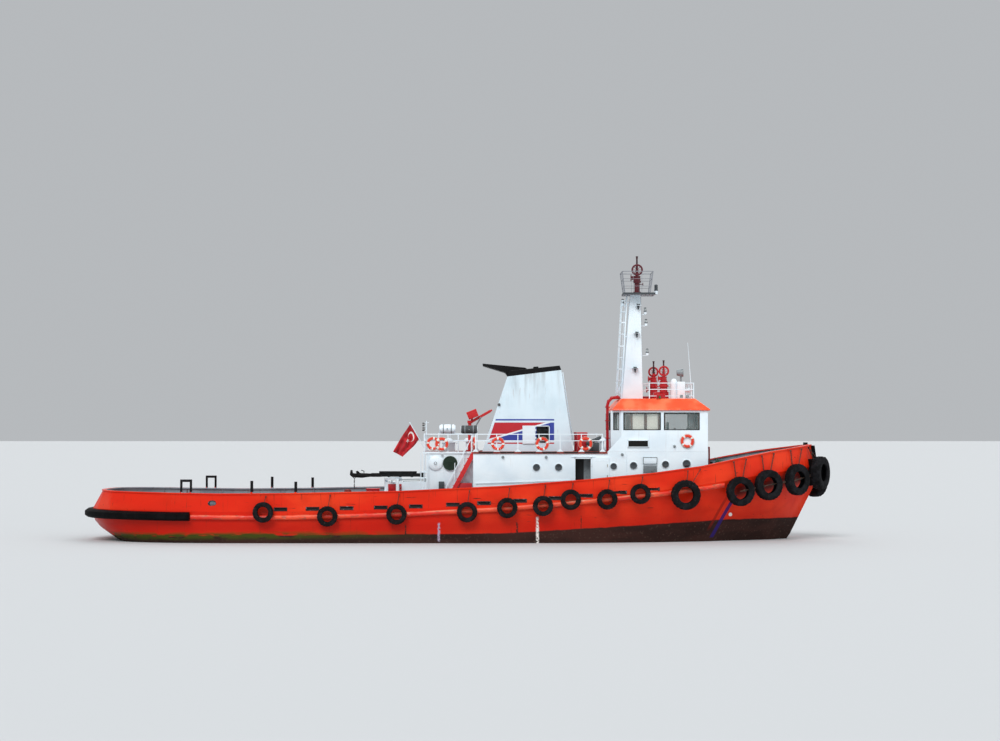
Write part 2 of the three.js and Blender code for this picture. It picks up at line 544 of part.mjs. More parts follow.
add('deckhouse_door_stbd', doorLeaf(SIDE_DOOR.hingeX, sideHingeY, 1, ...leafSizes), paints.white)
add('deckhouse_door_port', doorLeaf(SIDE_DOOR.hingeX, -sideHingeY, -1, ...leafSizes), paints.white)

// Boat deck over both parts of the house
const DECK_EDGE = 50
const boatDeckPlan = [[-1950, -2150], [HOUSE_STEP_X, -2150], [HOUSE_STEP_X, -HOUSE_SIDE_Y - DECK_EDGE],
  [DECK_FLUSH_X, -HOUSE_SIDE_Y - DECK_EDGE], [DECK_FLUSH_X, -HOUSE_SIDE_Y], [HOUSE_FRONT_X, -HOUSE_SIDE_Y]]
const bothSides = plan => [...plan, ...plan.map(([x, y]) => [x, -y]).reverse()]
const boatDeckPlate = upZ(bothSides(boatDeckPlan), BOAT_DECK_Z - DECK_PLATE, BOAT_DECK_Z)

// Davit: post, jib raised forward and the winch box on it
const DAVIT = { x: 420, y: 100, top: 6050, jibEnd: [1480, 6630], box: [560, 6470] }
function davit() {
  const { x, y, top, jibEnd, box: [boxX, boxZ] } = DAVIT
  const head = at(x - 80, y, top - 70)
  return join(rod(at(x, y, BOAT_DECK_Z - 20), at(x, y, top), 98, 10, 84),
    bar(head, at(jibEnd[0], y, jibEnd[1]), 110, 130),
    box(-265, 265, -235, 235, -195, 195).rotate([0, -22, 0]).translate([boxX, y, boxZ]),
    rod(at(500, y, 6000), at(boxX, y, 6400), 48, 8), rod(at(440, -10, 5350), at(1000, -10, 6300), 33, 6))
}

// Lockers and boxes as their sides, mushroom vents as their places, and the stern light's post
const DECK_LOCKERS = [
  [5955, 6445, -2295, -1755, 5520], [5955, 6445, 1755, 2295, 5520], [6505, 7045, -2595, -1505, 4995],
  [-995, -355, -545, 445, 5010]
]
const VENTS = [
  [7200, -2350, 5200], [6750, -1000, 5100], [6750, 1100, 5100], [7200, 2300, 5200], [-700, 1400, 5150],
  [300, 1500, 5150]
]
const VENT = { trunk: 108, hood: 205, deep: 120 }
const LIGHT_POST = { x: -1830, y: -350, top: 6120, lamps: [5600, 5840] }
function deckFittings() {
  const foot = BOAT_DECK_Z - 20
  const lockers = DECK_LOCKERS.map(([x0, x1, y0, y1, top]) => box(x0, x1, y0, y1, foot, top))
  const vents = VENTS.map(([x, y, top]) => join(upright(x, y, foot, top - 60, VENT.trunk, 6),
    upright(x, y, top - VENT.deep, top + 40, VENT.hood, 8, VENT.hood * 0.5)))
  const post = LIGHT_POST
  const lamps = post.lamps.map(z => join(box(post.x - 170, post.x, post.y - 25, post.y + 25, z, z + 18),
    upright(post.x - 150, post.y, z + 10, z + 175, 56, 8)))
  return join(...lockers, ...vents, ...lamps, upright(post.x, post.y, foot, post.top, 28, 6))
}
add('boat_deck', join(boatDeckPlate, davit(), deckFittings()), paints.red)

// Stairs in the corner beside the narrow part of the house
const STAIR = { foot: -820, head: 600, out: -2920, in: -2260, treads: 7 }
function stairs() {
  const foot = y => at(STAIR.foot, y, deckAt(STAIR.foot) - 60)
  const head = y => at(STAIR.head + 60, y, BOAT_DECK_Z - 60)
  const sides = [STAIR.out, STAIR.in].map(y => bar(foot(y), head(y), 40, 220))
  const treads = []
  for (let i = 1; i <= STAIR.treads; i++) {
    const part = i / (STAIR.treads + 1)
    const x = STAIR.foot + (STAIR.head - STAIR.foot) * part
    const z = deckAt(STAIR.foot) + (BOAT_DECK_Z - deckAt(STAIR.foot)) * part
    treads.push(box(x - 110, x + 110, STAIR.out, STAIR.in, z - 15, z + 15))
  }
  const deck = deckAt(STAIR.foot)
  const handrails = [STAIR.out, STAIR.in].map(y => join(
    bar(at(STAIR.foot + 90, y, deck + 60), at(STAIR.foot + 90, y, deck + 980), 30, 30),
    bar(at(STAIR.foot + 60, y, deck + 930), at(STAIR.head, y, BOAT_DECK_Z + 800), 30, 30),
    bar(at(STAIR.head - 60, y, BOAT_DECK_Z - 100), at(STAIR.head - 60, y, BOAT_DECK_Z + 790), 30, 30)))
  const reach = box(-1500, HOUSE_STEP_X - SEAT_GAP, -3100, -2200, 1000, 6000)
  return onDeck(join(...sides, ...treads, ...handrails).intersect(reach))
}
const stair = stairs()
add('stairs_stbd', stair, paints.red)
add('stairs_port', mirrored(stair), paints.red)

// Wheelhouse: hollow, windows cut, its sides flush with the deckhouse below
const ON_BOAT_DECK = BOAT_DECK_Z + SEAT_GAP
const UNDER_ROOF = ROOF_EAVE_Z - SEAT_GAP
const CORNER_X = 8150
const CORNER_Y = 2500
const SIDE_WINDOWS = [[8260, 10160], [10320, 12130]]
function wheelhouseSide() {
  const outline = [[7450, ON_BOAT_DECK], [HOUSE_FRONT_X, ON_BOAT_DECK], [HOUSE_FRONT_X, UNDER_ROOF],
    [CORNER_X, UNDER_ROOF], [CORNER_X, 5300]]
  let side = acrossY(outline, -HOUSE_SIDE_Y, -HOUSE_IN)
  for (const [aft, fore] of SIDE_WINDOWS) {
    side = side.subtract(box(aft, fore, -3100, -2800, WINDOW_SILL_Z, WINDOW_TOP_Z))
  }
  return side
}

// A lifebuoy, its ring facing along Y
const LIFEBUOY = { inner: 222, outer: 326, half: 50 }
const lifebuoy = (x, y, z) => turned([[LIFEBUOY.inner, -20], [274, -LIFEBUOY.half], [LIFEBUOY.outer, -20],
  [LIFEBUOY.outer, 20], [274, LIFEBUOY.half], [LIFEBUOY.inner, -20]], at(x, y, z), at(0, 1, 0), 10)
const bridgeSide = join(wheelhouseSide(), lifebuoy(11500, -HOUSE_SIDE_Y - LIFEBUOY.half + 8, 5080))
add('wheelhouse_side_stbd', bridgeSide, paints.white)
add('wheelhouse_side_port', mirrored(bridgeSide), paints.white)

const FRONT_WINDOWS = { count: 5, wide: 950, pitch: 1125 }
let bridgeFront = box(HOUSE_FRONT_X - WALL, HOUSE_FRONT_X, -frontIn, frontIn, ON_BOAT_DECK, UNDER_ROOF)
for (let i = 0; i < FRONT_WINDOWS.count; i++) {
  const y = (i - (FRONT_WINDOWS.count - 1) / 2) * FRONT_WINDOWS.pitch
  bridgeFront = bridgeFront.subtract(box(HOUSE_FRONT_X - 200, HOUSE_FRONT_X + 100, y - FRONT_WINDOWS.wide / 2,
    y + FRONT_WINDOWS.wide / 2, WINDOW_SILL_Z, WINDOW_TOP_Z))
}
add('wheelhouse_front', bridgeFront, paints.white)

const AFT_DOOR = { hingeY: 430, wide: 860, low: 4700, top: 6420, knuckles: [5000, 5900] }
const aftHingeX = WHEELHOUSE_AFT_X - HINGE_OFF
function wheelhouseAft() {
  const edge = CORNER_X - SEAT_GAP
  const outer = [[edge, -HOUSE_SIDE_Y], [WHEELHOUSE_AFT_X, -CORNER_Y]]
  const inner = [[edge, -HOUSE_SIDE_Y + 113], [WHEELHOUSE_AFT_X + WALL, -CORNER_Y + 33]]
  const plan = [...outer, ...outer.map(([x, y]) => [x, -y]).reverse(), ...inner.map(([x, y]) => [x, -y]),
    ...[...inner].reverse()]
  let wall = upZ(plan, ON_BOAT_DECK, UNDER_ROOF)
    .subtract(box(7500, 7900, -AFT_DOOR.hingeY + 60, AFT_DOOR.hingeY - 60, AFT_DOOR.low, AFT_DOOR.top))
  for (const side of [-1, 1]) {
    const [near, far] = [Math.min(side * 1000, side * 2200), Math.max(side * 1000, side * 2200)]
    wall = wall.subtract(box(7500, 7900, near, far, WINDOW_SILL_Z, WINDOW_TOP_Z))
    const [cornerNear, cornerFar] = [Math.min(side * 2480, side * 3100), Math.max(side * 2480, side * 3100)]
    wall = wall.subtract(box(7770, 8050, cornerNear, cornerFar, WINDOW_SILL_Z, WINDOW_TOP_Z))
  }
  for (const z of AFT_DOOR.knuckles) {
    const [y, top] = [AFT_DOOR.hingeY, z + KNUCKLE_HIGH]
    wall = wall.add(upright(aftHingeX, y, z, top, KNUCKLE, 8))
      .add(box(aftHingeX, WHEELHOUSE_AFT_X + 10, y - 12, y + 12, z, top))
  }
  return trimmed(trimmed(wall, [TO_PORT, AFTWARD], bridgeSide), [TO_STBD, AFTWARD], mirrored(bridgeSide))
}
add('wheelhouse_aft', wheelhouseAft(), paints.white)
let aftDoor = box(aftHingeX - DOOR_THICK / 2, aftHingeX + DOOR_THICK / 2, AFT_DOOR.hingeY - AFT_DOOR.wide,
  AFT_DOOR.hingeY - 30, AFT_DOOR.low - 40, AFT_DOOR.top + 40)
for (const z of AFT_DOOR.knuckles) {
  const base = z + KNUCKLE_HIGH + SEAT_GAP
  aftDoor = aftDoor.add(upright(aftHingeX, AFT_DOOR.hingeY, base, base + KNUCKLE_HIGH, KNUCKLE, 8))
    .add(box(aftHingeX - 12, aftHingeX + 12, AFT_DOOR.hingeY - 32, AFT_DOOR.hingeY, base, base + KNUCKLE_HIGH))
}
add('wheelhouse_door', aftDoor, paints.white)

// Visor roof: a flat-topped frustum with an upright eave
const levelRing = (aft, fore, half, z) =>
  [at(aft, -half, z), at(fore, -half, z), at(fore, half, z), at(aft, half, z)]
const ROOF_EAVE = [7700, 12660, 3110]
const ROOF_FLAT = [8190, 11950, 2560]
add('wheelhouse_roof', loftSolid([levelRing(...ROOF_EAVE, ROOF_EAVE_Z),
  levelRing(...ROOF_EAVE, ROOF_EAVE_Z + 70), levelRing(...ROOF_FLAT, ROOF_TOP_Z)]), paints.orange)

// Helm console under the front windows, with the wheel's pedestal behind it
const helm = join(box(11500, 12300, -1500, 1500, ON_BOAT_DECK, 5500),
  box(11150, 11520, -180, 180, ON_BOAT_DECK, 5450),
  rod(at(11090, 0, 5430), at(11160, 0, 5430), 330, 14))
add('helm_console', helm, paints.wood)

// Funnel casing: a hollow tapered trunk with its door cut, and the black cap with the raked deflector
const FUNNEL_HALF = 1450
const FUNNEL_WALL = 60
const FUNNEL = { aftFoot: 1090, foreFoot: 5770, aftTop: 2380, foreTop: 5160, aftTopZ: 8400, foreTopZ: 8740 }
const FUNNEL_DOOR = {
  hingeX: 3850, fore: 4520, aft: 3880, low: 4980, top: 5830, wide: 690, knuckles: [5100, 5500]
}
const funnelHingeY = -(FUNNEL_HALF + HINGE_OFF)
function funnelCasing() {
  const f = FUNNEL
  const outer = acrossY([[f.aftFoot, ON_BOAT_DECK], [f.foreFoot, ON_BOAT_DECK], [f.foreTop, f.foreTopZ],
    [f.aftTop, f.aftTopZ]], -FUNNEL_HALF, FUNNEL_HALF)
  const inner = acrossY([[f.aftFoot + 60, ON_BOAT_DECK - 10], [f.foreFoot - 60, ON_BOAT_DECK - 10],
    [f.foreTop - 62, f.foreTopZ + 30], [f.aftTop + 62, f.aftTopZ + 30]], -FUNNEL_HALF + FUNNEL_WALL,
  FUNNEL_HALF - FUNNEL_WALL)
  const d = FUNNEL_DOOR
  const opening = box(d.aft, d.fore, -FUNNEL_HALF - 100, -FUNNEL_HALF + 100, d.low, d.top)
  const knuckles = d.knuckles.map(z => wallKnuckle(d.hingeX, funnelHingeY, z, HINGE_OFF + 10))
  return join(outer.subtract(inner).subtract(opening), ...knuckles)
}
add('funnel_casing', funnelCasing(), paints.white)
add('funnel_door', doorLeaf(FUNNEL_DOOR.hingeX, funnelHingeY, -1, FUNNEL_DOOR.wide, FUNNEL_DOOR.low - 40,
  FUNNEL_DOOR.top + 40, FUNNEL_DOOR.knuckles), paints.white)
const capBase = [[FUNNEL.aftTop, FUNNEL.aftTopZ + SEAT_GAP], [FUNNEL.foreTop, FUNNEL.foreTopZ + SEAT_GAP]]
const capBlock = acrossY([...capBase, [5080, 8970], [2500, 8700]], -FUNNEL_HALF, FUNNEL_HALF)
const CAP_WEDGE = [[2420, 8420], [3600, 8700], [3300, 8880], [1090, 9090], [1100, 8990], [2250, 8640]]
const capWedge = acrossY(CAP_WEDGE, -900, 900)
add('funnel_cap', capBlock.add(capWedge), paints.black)

// Mast on the wheelhouse roof, its platform and basket rail, and the ladder up its after side
const ON_ROOF = ROOF_TOP_Z + SEAT_GAP
const MAST_TOP_Z = 12700
const MAST_LAMPS = [{ x: 9600, z: 11700 }, { x: 9640, z: 11100 }, { x: 9700, z: 9550 }, { x: 8420, z: 12150 }]
const mastTrunk = loftSolid([levelRing(8360, 9430, 430, ON_ROOF), levelRing(8810, 9340, 250, MAST_TOP_Z)])
const mastFront = z => 9430 - 90 * (z - ON_ROOF) / (MAST_TOP_Z - ON_ROOF)
const mastArms = MAST_LAMPS.map(({ x, z }) => {
  const root = mastFront(z) - 20
  return join(box(Math.min(x, root), Math.max(x, root), -25, 25, z - 30, z),
    box(x - 60, x + 60, -60, 60, z - 1, z + 150))
})

// Floodlights on brackets down the starboard face of the mast
const MAST_FLOODS = [8870, 10700, 12150]
const mastFloods = MAST_FLOODS.map(z => {
  const part = (z - ROOF_TOP_Z) / (MAST_TOP_Z - ROOF_TOP_Z)
  const [x, y] = [8940 + 300 * part, -(570 - 180 * part)]
  return join(box(x - 140, x + 140, y - 120, y + 180, z - 28, z - 2),
    upright(x, y, z - 10, z - 235, 72, 8, 30), upright(x, y, z - 10, z + 56, 86, 8))
})
add('mast', join(mastTrunk, ...mastArms, ...mastFloods), paints.white)

const PLATFORM = { aft: 8420, fore: 10060, half: 780, z: MAST_TOP_Z + SEAT_GAP, thick: 70 }
const BASKET = { aft: 8500, fore: 9800, half: 760, lean: 150, heights: [13120, 13500] }
const BASKET_TOP = 13880
const MONITOR_SEAT_Z = 13400
const MAST_MONITOR_X = 9170
function mastPlatform() {
  const p = PLATFORM
  const plate = box(p.aft, p.fore, -p.half, p.half, p.z, p.z + p.thick)
  const b = BASKET
  const corners = z => {
    const grow = b.lean * (z - p.z) / (BASKET_TOP - p.z)
    return [[b.aft - grow, -b.half - grow], [b.fore + grow, -b.half - grow],
      [b.fore + grow, b.half + grow], [b.aft - grow, b.half + grow]].map(([x, y]) => at(x, y, z))
  }
  const [foot, top] = [corners(p.z + 20), corners(BASKET_TOP)]
  const bars = []
  for (let k = 0; k < 4; k++) {
    const next = (k + 1) % 4
    bars.push(rod(foot[k], top[k], 22, 6), rod(top[k], top[next], 20, 5))
    for (const z of b.heights) bars.push(rod(corners(z)[k], corners(z)[next], 11, 4))
  }
  const column = join(rod(at(MAST_MONITOR_X, 0, p.z + 10), at(MAST_MONITOR_X, 0, MONITOR_SEAT_Z), 130, 12),
    rod(at(MAST_MONITOR_X, 0, p.z + 60), at(MAST_MONITOR_X, 0, p.z + 110), 190, 12))
  const outrigger = join(box(p.fore - 20, 10200, -50, 50, p.z + 30, p.z + 60),
    rod(at(10170, 0, p.z + 50), at(10170, 0, 13240), 82, 10))
  return join(plate, column, outrigger, ...bars)
}
add('mast_platform', mastPlatform(), paints.white)

const LADDER = { foot: [8330, 7290], head: [8640, 12650], half: 210, rungs: 10 }
const CAGE = { out: 300, hoops: [8830, 10030, 11270, 12400], low: 7560 }
function mastLadder() {
  const [x0, z0] = LADDER.foot
  const [x1, z1] = LADDER.head
  const xAt = z => x0 + (x1 - x0) * (z - z0) / (z1 - z0)
  const rails = [-1, 1].map(side => bar(at(x0, side * LADDER.half, z0), at(x1, side * LADDER.half, z1), 25, 60))
  const rungs = Array.from({ length: LADDER.rungs }, (_, i) => {
    const z = z0 + (i + 0.5) * (z1 - z0) / LADDER.rungs
    return bar(at(xAt(z), -LADDER.half, z), at(xAt(z), LADDER.half, z), 25, 25, UP)
  })
  const ring = z => [[0, 1], [-0.75, 1.2], [-1, 0], [-0.75, -1.2], [0, -1]]
    .map(([out, across]) => at(xAt(z) + out * CAGE.out, across * LADDER.half, z))
  const hoops = CAGE.hoops.map(z => join(...ring(z).slice(1).map((p, i) => bar(ring(z)[i], p, 40, 20, UP))))
  const [low, high] = [ring(CAGE.low), ring(CAGE.hoops[3])]
  const bars = [1, 2, 3].map(k => bar(low[k], high[k], 28, 16))
  const mastAft = z => 8360 + 450 * (z - ON_ROOF) / (MAST_TOP_Z - ON_ROOF)
  const brackets = [8200, 10500, 12300].map(z => box(xAt(z) - 10, mastAft(z) - 3 * SEAT_GAP, -LADDER.half,
    LADDER.half, z, z + 40))
  return trimmed(join(...rails, ...rungs, ...hoops, ...bars, ...brackets), [AFTWARD], mastTrunk)
}
add('mast_ladder', mastLadder(), paints.white)

// A fire monitor: a swivel body with its handwheel, and the barrel that lifts in it
function monitorBody(x, y, z, size) {
  const pivotZ = z + 430 * size
  const wheelSide = y > 0 ? 1 : -1
  const body = join(rod(at(x, y, z), at(x, y, z + 300 * size), 165 * size, 12),
    rod(at(x, y, z), at(x, y, z + 50), 205 * size, 12),
    box(x - 270 * size, x, y - 95 * size, y + 95 * size, z + 110 * size, z + 290 * size))
  const cheeks = [-1, 1].map(side => box(x - 70 * size, x + 70 * size, y + side * 105 * size - 20 * size,
    y + side * 105 * size + 20 * size, z + 200 * size, pivotZ + 70 * size))
  const wheelY = y + wheelSide * 190 * size
  const [inner, outer, half] = [232 * size, 288 * size, 24]
  const wheel = turned([[inner, -half], [outer, -half], [outer, half], [inner, half], [inner, -half]],
    at(x, wheelY, pivotZ + 180 * size), at(0, 1, 0), 12)
  const spoke = box(x - 25, x + 25, Math.min(wheelY - 15, wheelY + 15), Math.max(wheelY - 15, wheelY + 15),
    z + 150 * size, pivotZ + 180 * size + 250 * size)
  const arm = box(x - 25, x + 25, Math.min(y, wheelY), Math.max(y, wheelY), z + 150 * size, z + 190 * size)
  return join(body, ...cheeks, wheel, spoke, arm)
}
function monitorBarrel(x, y, z, size, length) {
  const pivotZ = z + 430 * size
  const trunnionHalf = 85 * size - SEAT_GAP
  const trunnion = athwart(x, pivotZ, y - trunnionHalf, y + trunnionHalf, 60 * size, 12)
  const barrel = rod(at(x, y, pivotZ), at(x, y, pivotZ + length), 62 * size, 12, 38 * size)
  const tip = rod(at(x, y, pivotZ + length - 120), at(x, y, pivotZ + length), 52 * size, 12)
  return join(trunnion, barrel, tip)
}
add('mast_monitor', monitorBody(MAST_MONITOR_X, 0, MONITOR_SEAT_Z + SEAT_GAP, 1), paints.red)
add('mast_monitor_barrel', monitorBarrel(MAST_MONITOR_X, 0, MONITOR_SEAT_Z + SEAT_GAP, 1, 900), paints.red)

// Fire main: riser behind the wheelhouse, run along the roof to the two pedestals of the roof monitors
const ROOF_MONITORS = [{ name: 'stbd', x: 10500, y: -650 }, { name: 'port', x: 10080, y: 650 }]
const PEDESTAL_TOP = 8150
const RISER = { x: 7540, y: -1300 }
const MAIN_Z = ROOF_TOP_Z + 95
const MAIN_PORT_Y = 820
function fireMain() {
  const riser = pipe([at(RISER.x, RISER.y, ON_BOAT_DECK), at(RISER.x, RISER.y, 6900), at(7600, RISER.y, 7120),
    at(7760, RISER.y, 7290), at(8060, RISER.y, MAIN_Z), at(8060, MAIN_PORT_Y, MAIN_Z),
    at(10080, MAIN_PORT_Y, MAIN_Z), at(10500, -650, MAIN_Z)], 82, 6)
  const pedestals = ROOF_MONITORS.map(({ x, y }) => join(upright(x, y, ON_ROOF, PEDESTAL_TOP, 200, 12),
    upright(x, y, ON_ROOF, ON_ROOF + 40, 270, 12), upright(x, y, 7890, 7970, 250, 12)))
  return join(riser, ...pedestals)
}
const fireMainPipe = fireMain()
add('fire_main', fireMainPipe, paints.red)
for (const m of ROOF_MONITORS) {
  add(`roof_monitor_${m.name}`, monitorBody(m.x, m.y, PEDESTAL_TOP + SEAT_GAP, 0.9), paints.red)
  add(`roof_monitor_${m.name}_barrel`, monitorBarrel(m.x, m.y, PEDESTAL_TOP + SEAT_GAP, 0.9, 720), paints.red)
}

// Roof rail round the front half of the roof, its after ends turned in to the mast, with floodlights on its
// low bar, two horns on the fore end and the whip aerial clamped to it
const ROOF_RAIL = { aft: 9620, fore: 11880, half: 2480, heights: [7380, 7720, 8040] }
const RAIL_IN = { x: 9450, y: 300, above: 7500 }
const ROOF_FLOODS = [[11260, -2410], [11560, -2410], [11400, 2410]]
function roofRail() {
  const r = ROOF_RAIL
  const parts = []
  for (const side of [-1, 1]) {
    const y = side * r.half
    for (const x of [r.aft, r.fore]) parts.push(bar(at(x, y, ON_ROOF), at(x, y, 8060), 44, 44))
    for (const z of r.heights) {
      parts.push(bar(at(r.aft, y, z), at(r.fore, y, z), 34, 34, UP))
      if (z > RAIL_IN.above) parts.push(bar(at(r.aft, y, z), at(RAIL_IN.x, side * RAIL_IN.y, z), 34, 34, UP))
    }
  }
  for (const z of r.heights) parts.push(bar(at(r.fore, -r.half, z), at(r.fore, r.half, z), 34, 34, UP))
  for (const y of [-1250, 0, 1250]) parts.push(bar(at(r.fore, y, ON_ROOF), at(r.fore, y, 8060), 44, 44))
  for (const [x, y] of ROOF_FLOODS) parts.push(box(x - 70, x + 70, y - 85, y + 85, 7290, 7430))
  for (const y of [-250, 250]) parts.push(rod(at(r.fore - 10, y, 7720), at(r.fore - 420, y, 7680), 95, 8, 28))
  parts.push(rod(at(11860, -1250, 7980), at(11700, -1250, 10160), 22, 6, 8))
  return join(...parts)
}
add('roof_rail', roofRail(), paints.white)
const BINNACLE = { x: 11010, y: -900, radius: 182, neck: 8110 }
const binnacle = join(upright(BINNACLE.x, BINNACLE.y, ON_ROOF, BINNACLE.neck, BINNACLE.radius, 12),
  solid(new THREE.SphereGeometry(BINNACLE.radius - 5, 12, 6).scale(1, 1, 1.15)
    .translate(BINNACLE.x, BINNACLE.y, BINNACLE.neck)))
add('binnacle', binnacle, paints.white)
const searchlight = join(rod(at(11520, 700, ON_ROOF), at(11520, 700, 8450), 50, 8),
  rod(at(11300, 700, 8660), at(11640, 700, 8660), 150, 12, 230), box(11470, 11570, 640, 760, 8400, 8560))
add('searchlight', searchlight, paints.grey)

// Propeller in its nozzle, and the rudder on the shoe behind it
const NOZZLE = { aft: -15150, fore: -13960, outer: 1250, inner: 1120 }
const NOZZLE_SECTION = [
  [NOZZLE.inner + 20, NOZZLE.aft], [NOZZLE.outer - 60, NOZZLE.aft], [NOZZLE.outer, -14300],
  [NOZZLE.outer - 20, NOZZLE.fore], [NOZZLE.inner + 60, NOZZLE.fore], [NOZZLE.inner, -14300],
  [NOZZLE.inner + 20, NOZZLE.aft]
]
const nozzleRing = turned(NOZZLE_SECTION, at(0, 0, SHAFT_Z), at(1, 0, 0), 24)
const headbox = box(-14950, -14200, -260, 260, SHAFT_Z + 1180, -400)
add('nozzle', trimmed(nozzleRing.add(headbox), [at(0, 0, -SEAT_GAP)], hull), paints.black)

function bladeRing(radius, chord, thick, pitch) {
  const turn = THREE.MathUtils.degToRad(pitch)
  const across = at(Math.cos(turn), Math.sin(turn), 0)
  const through = at(-Math.sin(turn), Math.cos(turn), 0)
  return [[-0.5, -0.3], [0.5, -0.3], [0.5, 0.3], [0, 0.5], [-0.5, 0.3]].map(([u, v]) =>
    across.clone().multiplyScalar(u * chord).add(through.clone().multiplyScalar(v * thick)).setZ(radius))
}
function screw(radius, hub, chord, blades) {
  const one = loftSolid([bladeRing(hub * 0.7, chord * 0.7, chord * 0.16, 30),
    bladeRing(radius * 0.65, chord, chord * 0.08, 50), bladeRing(radius, chord * 0.75, chord * 0.04, 60)])
  const step = 360 / blades
  return join(...Array.from({ length: blades }, (_, k) => one.rotate([k * step, 0, 0])))
}
const PROP = { radius: 1055, hub: 230, aft: -14680, blades: 4 }
const propHub = rod(at(BOSS_AFT_X - SEAT_GAP, 0, SHAFT_Z), at(PROP.aft, 0, SHAFT_Z), PROP.hub, 16, 150)
const propBlades = screw(PROP.radius, PROP.hub, 640, PROP.blades).translate([-14400, 0, SHAFT_Z])
add('propeller', propHub.add(propBlades), paints.bronze)

const RUDDER = { stockX: -16500, aft: -17380, fore: -15870, low: -3650, high: -1260, half: 130 }
const RUDDER_PLAN = [
  [RUDDER.aft, -15], [RUDDER.stockX, -RUDDER.half], [RUDDER.fore + 90, -90], [RUDDER.fore, 0],
  [RUDDER.fore + 90, 90], [RUDDER.stockX, RUDDER.half], [RUDDER.aft, 15]
]
const rudderBlade = upZ(RUDDER_PLAN, RUDDER.low, RUDDER.high)
const stock = rod(at(RUDDER.stockX, 0, RUDDER.high - 20), at(RUDDER.stockX, 0, TRUNK_LOW - SEAT_GAP), 120, 12)
const pintle = rod(at(RUDDER.stockX, 0, SHOE_TOP + SEAT_GAP), at(RUDDER.stockX, 0, RUDDER.low + 20), 100, 12)
add('rudder', join(rudderBlade, stock, pintle), paints.black)

const thrusterBlades = screw(385, 95, 250, 4).rotate([0, 0, -90])
  .translate([TUNNEL.x, POD_END - 120, TUNNEL.z])
const thrusterHub = athwart(TUNNEL.x, TUNNEL.z, POD_END - SEAT_GAP, POD_END - 240, 100, 12, 60)
add('thruster_propeller', thrusterHub.add(thrusterBlades), paints.bronze)

// Towing gear: casing, arched rail on posts, and the long arm that swings over it to the hook
const CASING_AFT = -3890
const RAIL_ARCH = { radius: 1900, half: 90, low: 3060, high: 3160, reach: 50 }
function towRail() {
  const arc = []
  for (let k = 0; k <= 8; k++) {
    const turn = THREE.MathUtils.degToRad(180 - RAIL_ARCH.reach + (2 * RAIL_ARCH.reach * k) / 8)
    arc.push([Math.cos(turn), Math.sin(turn)])
  }
  const at2 = (radius, [c, s]) => [TOW_PIN.x + radius * c, radius * s]
  const plan = [...arc.map(p => at2(RAIL_ARCH.radius + RAIL_ARCH.half, p)),
    ...[...arc].reverse().map(p => at2(RAIL_ARCH.radius - RAIL_ARCH.half, p))]
  const posts = [0, 4, 8].map(k => {
    const [x, y] = at2(RAIL_ARCH.radius, arc[k])
    return rod(at(x, y, 1000), at(x, y, RAIL_ARCH.low + 30), 85, 8)
  })
  const casing = box(CASING_AFT, HOUSE_AFT_X - SEAT_GAP, -900, 900, 1000, 2950)
  const doors = [-1, 1].map(side => sideBox(side, -3780, -3100, 890, 920, 2400, 2850))
  const winchBox = box(-4850, -4200, -1750, -1150, 1000, 2640)
  const foot = box(-4850, CASING_AFT + 20, -1500, -600, 1000, 1780)
  return onDeck(join(upZ(plan, RAIL_ARCH.low, RAIL_ARCH.high), ...posts, casing, ...doors, winchBox, foot))
}
add('tow_casing', towRail(), paints.white)
const HOOK_PIN_X = -4600
const ARM_HALF = 95
const armEye = upright(TOW_PIN.x, 0, TOW_PIN.low + SEAT_GAP, TOW_PIN.high - SEAT_GAP, 120, 14)
const armBeam = box(-4200, TOW_PIN.x - 60, -ARM_HALF, ARM_HALF, 3210, 3390)
const armFork = [-1, 1].map(side => sideBox(side, HOOK_PIN_X - 110, -4190, 60, 110, 3200, 3400))
const armRibs = [-2600, -3200, -3800].map(x => box(x - 50, x + 50, -ARM_HALF - 18, ARM_HALF + 18, 3192, 3408))
const armPipe = rod(at(-4150, 0, 3440), at(-2350, 0, 3440), 55, 8)
add('tow_arm', join(armEye, armBeam, ...armFork, ...armRibs, armPipe), paints.black)
const HOOK_OUTLINE = [
  [-4500, 3230], [-4500, 3370], [-5300, 3400], [-5420, 3520], [-5520, 3500], [-5500, 3380], [-5680, 3400],
  [-5700, 3560], [-5800, 3560], [-5840, 3300], [-5700, 3180], [-5200, 3150], [-4800, 3200]
]
add('tow_hook', acrossY(HOOK_OUTLINE, -60 + SEAT_GAP, 60 - SEAT_GAP), paints.black)

// Anchor windlass with its drum between the stands, and the bitts to each side of it
const WINDLASS = { x: 13500, z: 3780, stand: 430, thick: 80 }
const windlassBase = box(13000, 14000, -620, 620, 1000, 3420)
const windlassStands = [-1, 1].map(side =>
  sideBox(side, 13330, 13670, WINDLASS.stand, WINDLASS.stand + WINDLASS.thick, 3400, 3960))
const onWindlass = (y0, y1, radius, sides) => athwart(WINDLASS.x, WINDLASS.z, y0, y1, radius, sides)
const gypsies = [-1, 1].map(side => join(onWindlass(side * 500, side * 720, 100, 10),
  onWindlass(side * 540, side * 590, 235, 12), onWindlass(side * 680, side * 730, 235, 12)))
const CHAIN = { y: 635, radius: 30, hawseX: 15650, above: 15 }
const chainRuns = [-1, 1].map(side => pipe([at(WINDLASS.x, side * CHAIN.y, WINDLASS.z + 120),
  at(CHAIN.hawseX, side * CHAIN.y, deckAt(CHAIN.hawseX) + CHAIN.above)], CHAIN.radius))
const gearCase = box(13050, 13300, -318, 318, 3400, 3700)
add('windlass', onDeck(join(windlassBase, ...windlassStands, gearCase, ...gypsies, ...chainRuns)), paints.green)
const drumHalf = WINDLASS.stand - SEAT_GAP
const drum = join(onWindlass(-drumHalf, drumHalf, 150, 14),
  ...[-1, 1].map(side => onWindlass(side * 330, side * 380, 300, 14)))
add('windlass_drum', drum, paints.green)
